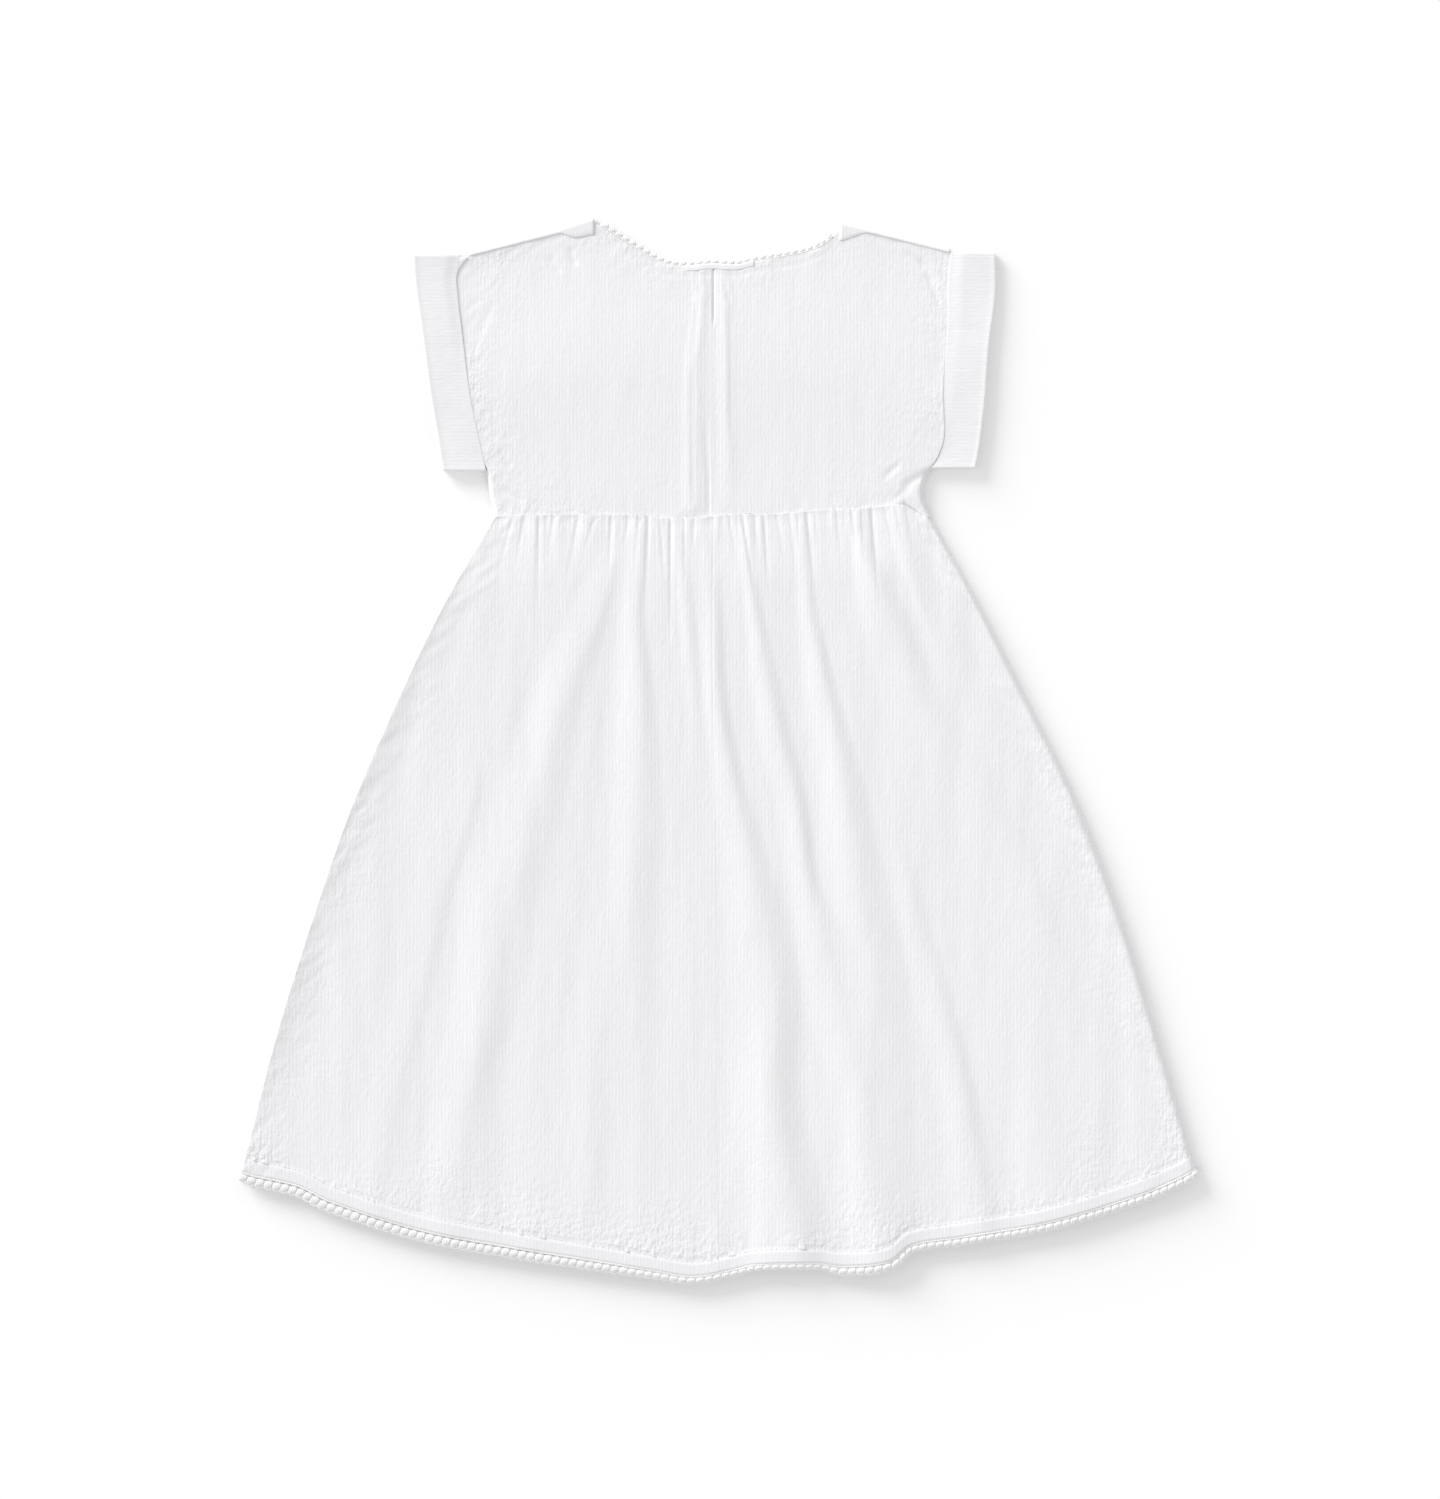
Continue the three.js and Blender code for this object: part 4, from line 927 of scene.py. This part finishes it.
def edging(name, edge_x, edge_y, face, width, puffs, side, margin, count, ground):
    """Crochet along an edge of cloth that runs from left to right. side is 1 above the edge and
    -1 below it."""
    step = np.hypot(np.diff(edge_x), np.diff(edge_y))
    s_of_point = np.concatenate([[0], np.cumsum(step)])
    first = np.interp(edge_x[0] + margin, edge_x, s_of_point)
    length = np.interp(edge_x[-1] - margin, edge_x, s_of_point) - first
    slope = np.gradient(edge_y, edge_x)
    slope = np.convolve(np.pad(slope, 6, mode="edge"), np.ones(13) / 13, "valid")
    normal = np.stack([-slope, np.ones_like(slope)], -1) * side
    normal /= np.linalg.norm(normal, axis=-1, keepdims=True)

    def on(values, s):
        return np.interp(s + first, s_of_point, values)

    def trim(s, out, rise):
        return np.stack(np.broadcast_arrays(
            on(edge_x, s) + on(normal[:, 0], s) * out,
            on(edge_y, s) + on(normal[:, 1], s) * out,
            on(face, s) - 0.5 + rise), -1)

    def reach(s):
        return width(on(edge_x, s))

    pitch = length / puffs
    centres = (np.arange(puffs) + 0.5) * pitch
    parts = [
        twist(trim, length, lambda s: 0.02 * reach(s) + 0.3, lambda s: 0.25 + 0 * s, 0.34, 0.42),
        *[twist(trim, length, lambda s, share=share: share * reach(s), lambda s: -0.25 + 0 * s,
                0.3, 0.42) for share in ground],
        puff_strands(trim, centres, reach, count, 0.36 * pitch * side, pitch / 5),
        twist(trim, length,
              lambda s: 0.9 * reach(s) - 0.25 * np.cos(2 * math.pi * s / pitch),
              lambda s: -0.3 + 0 * s, 0.26, 0.3),
    ]
    return make_piece(name, joined(parts), CROCHET_YARN, [name])


def hem_line(count):
    x, y, to_side, _ = skirt_place(np.linspace(0, 1, count)[None, :], *[
        np.array([[value]]) for value in (WAIST_ZONE, 1.0, HEM_BAND)])
    face = BACK_FACE + skirt_relief(x, y, to_side)
    return x[0], y[0], turn_down(face, to_side, by_side(SIDE_TURN, x), SIDE_EDGE_Z + 0.6)[0]


def hem_trim_width(x):
    return read(HEM, "x", x, "edging")


HEM_X, HEM_Y, HEM_FACE = hem_line(700)
edging("hem_edging_back", HEM_X, HEM_Y, HEM_FACE, hem_trim_width, HEM_PUFFS, -1,
       HEM_TRIM_MARGIN, 4, GROUND_ROWS["back"])
edging("hem_edging_front", HEM_X, HEM_Y, np.full(700, 1.5), hem_trim_width, HEM_PUFFS, -1,
       HEM_TRIM_MARGIN, 3, GROUND_ROWS["front"])


def neck_edging(name, neckline, height, puffs, ground):
    x = np.linspace(neckline["x"][0], neckline["x"][-1], 300)
    y = read(neckline, "x", x, "y")
    edging(name, x, y, np.full(300, height), lambda x: NECK_TRIM_WIDTH + 0 * x, puffs, 1,
           NECK_TRIM_MARGIN, 3, ground)


neck_edging("neck_edging_back", BACK_NECK, BACK_FACE, NECK_PUFFS, GROUND_ROWS["back"])
neck_edging("neck_edging_front", FRONT_NECK, 1.5, 42, GROUND_ROWS["front"])


# Sewing


BINDING = {"left": -18, "right": 20.4, "above": 0.5, "below": -2.6, "top": 0.12}


def neck_binding():
    """The plain strip of binding at the middle of the back neckline."""
    x = np.linspace(BINDING["left"], BINDING["right"], 48)[None, :] + np.zeros((9, 1))
    share = np.linspace(0, 1, 9)[:, None]
    y = read(BACK_NECK, "x", x, "y") + lerp(BINDING["above"], BINDING["below"], share)
    rounded = BINDING["top"] * (1 - (2 * share - 1) ** 4)
    bodice = BACK_FACE + bodice_relief(x, y, np.full_like(x, 1e3))
    face = bodice + 0.05 + rounded + 0.5 * crinkle(y, x)
    grids = np.stack([x, y, face], -1), np.stack([x, y, bodice - 0.3], -1)
    make_piece("neck_binding", shell(*grids), CROSSWISE_COTTON)


neck_binding()

STITCH = {"length": 2.3, "pitch": 3, "radius": 0.17}


def stitch_line(name, x, y, z):
    """A row of short stitches along a line of points on the cloth."""
    s = np.concatenate([[0], np.cumsum(np.hypot(np.diff(x), np.diff(y)))])
    starts = np.arange(1, s[-1] - STITCH["length"], STITCH["pitch"])[:, None]
    at = starts + np.linspace(0, STITCH["length"], 5)[None, :]
    dip = np.array([-0.22, 0.03, 0.08, 0.03, -0.22])[None, :]
    paths = np.stack([np.interp(at, s, x), np.interp(at, s, y), np.interp(at, s, z) + dip], -1)
    return make_piece(name, yarns(paths, STITCH["radius"]), SEWING_THREAD)


def hem_stitches(name, start, end):
    rows = [np.array([[value]]) for value in (WAIST_ZONE, 1.0, 0.0)]
    top, _ = skirt_back_points(start, end, 300, rows)
    stitch_line(name, *top[0, 6:-6].T)


hem_stitches("hem_stitches_left", 0, CENTRE_SHARE - HALF_SEAM_SHARE)
hem_stitches("hem_stitches_right", CENTRE_SHARE + HALF_SEAM_SHARE, 1)


# Floor, light and camera

FRAME_WIDTH_PX, FRAME_HEIGHT_PX = 1440, 1499
MM_PER_PX = 0.564
ORIGIN_PX = (717.9, 750.5)     # pixel of the photo where x = 0 and y = 0 lie
CAMERA_HEIGHT = 5.0


def floor():
    mesh = bpy.data.meshes.new("floor")
    half, z = 4.0, -0.0002
    mesh.from_pydata([(-half, -half, z), (half, -half, z), (half, half, z), (-half, half, z)],
                     [], [(0, 1, 2, 3)])
    shader = Shader("floor_paper")
    shader.surface.inputs["Base Color"].default_value = (0.86, 0.86, 0.86, 1)
    shader.surface.inputs["Roughness"].default_value = 1.0
    shader.surface.inputs["Specular IOR Level"].default_value = 0.0
    shader.surface.inputs["Emission Color"].default_value = (1, 1, 1, 1)
    shader.surface.inputs["Emission Strength"].default_value = 0.13
    mesh.materials.append(shader.material)
    plane = bpy.data.objects.new("floor", mesh)
    bpy.context.scene.collection.objects.link(plane)


def light():
    world = bpy.data.worlds.new("studio")
    bpy.context.scene.world = world
    world.use_nodes = True
    background = world.node_tree.nodes["Background"]
    background.inputs["Color"].default_value = (1, 1, 1, 1)
    background.inputs["Strength"].default_value = 0.735
    for name, strength, spread, azimuth, elevation in [("key", 3.1, 34, 135, 17)]:
        data = bpy.data.lights.new(name, "SUN")
        data.energy = strength
        data.angle = math.radians(spread)
        lamp = bpy.data.objects.new(name, data)
        a, e = math.radians(azimuth), math.radians(elevation)
        lamp.rotation_mode = "QUATERNION"
        toward = (math.cos(a) * math.cos(e), math.sin(a) * math.cos(e), math.sin(e))
        lamp.rotation_quaternion = Vector(toward).to_track_quat("Z", "Y")
        bpy.context.scene.collection.objects.link(lamp)


def camera():
    data = bpy.data.cameras.new("camera")
    data.sensor_width = 36
    frame_height = FRAME_HEIGHT_PX * MM_PER_PX * MM
    data.lens = data.sensor_width * CAMERA_HEIGHT / frame_height
    data.clip_end = 100
    eye = bpy.data.objects.new("camera", data)
    eye.location = ((FRAME_WIDTH_PX / 2 - ORIGIN_PX[0]) * MM_PER_PX * MM,
                    (ORIGIN_PX[1] - FRAME_HEIGHT_PX / 2) * MM_PER_PX * MM, CAMERA_HEIGHT)
    bpy.context.scene.collection.objects.link(eye)
    bpy.context.scene.camera = eye


floor()
light()
camera()
bpy.context.scene.view_settings.view_transform = "Standard"
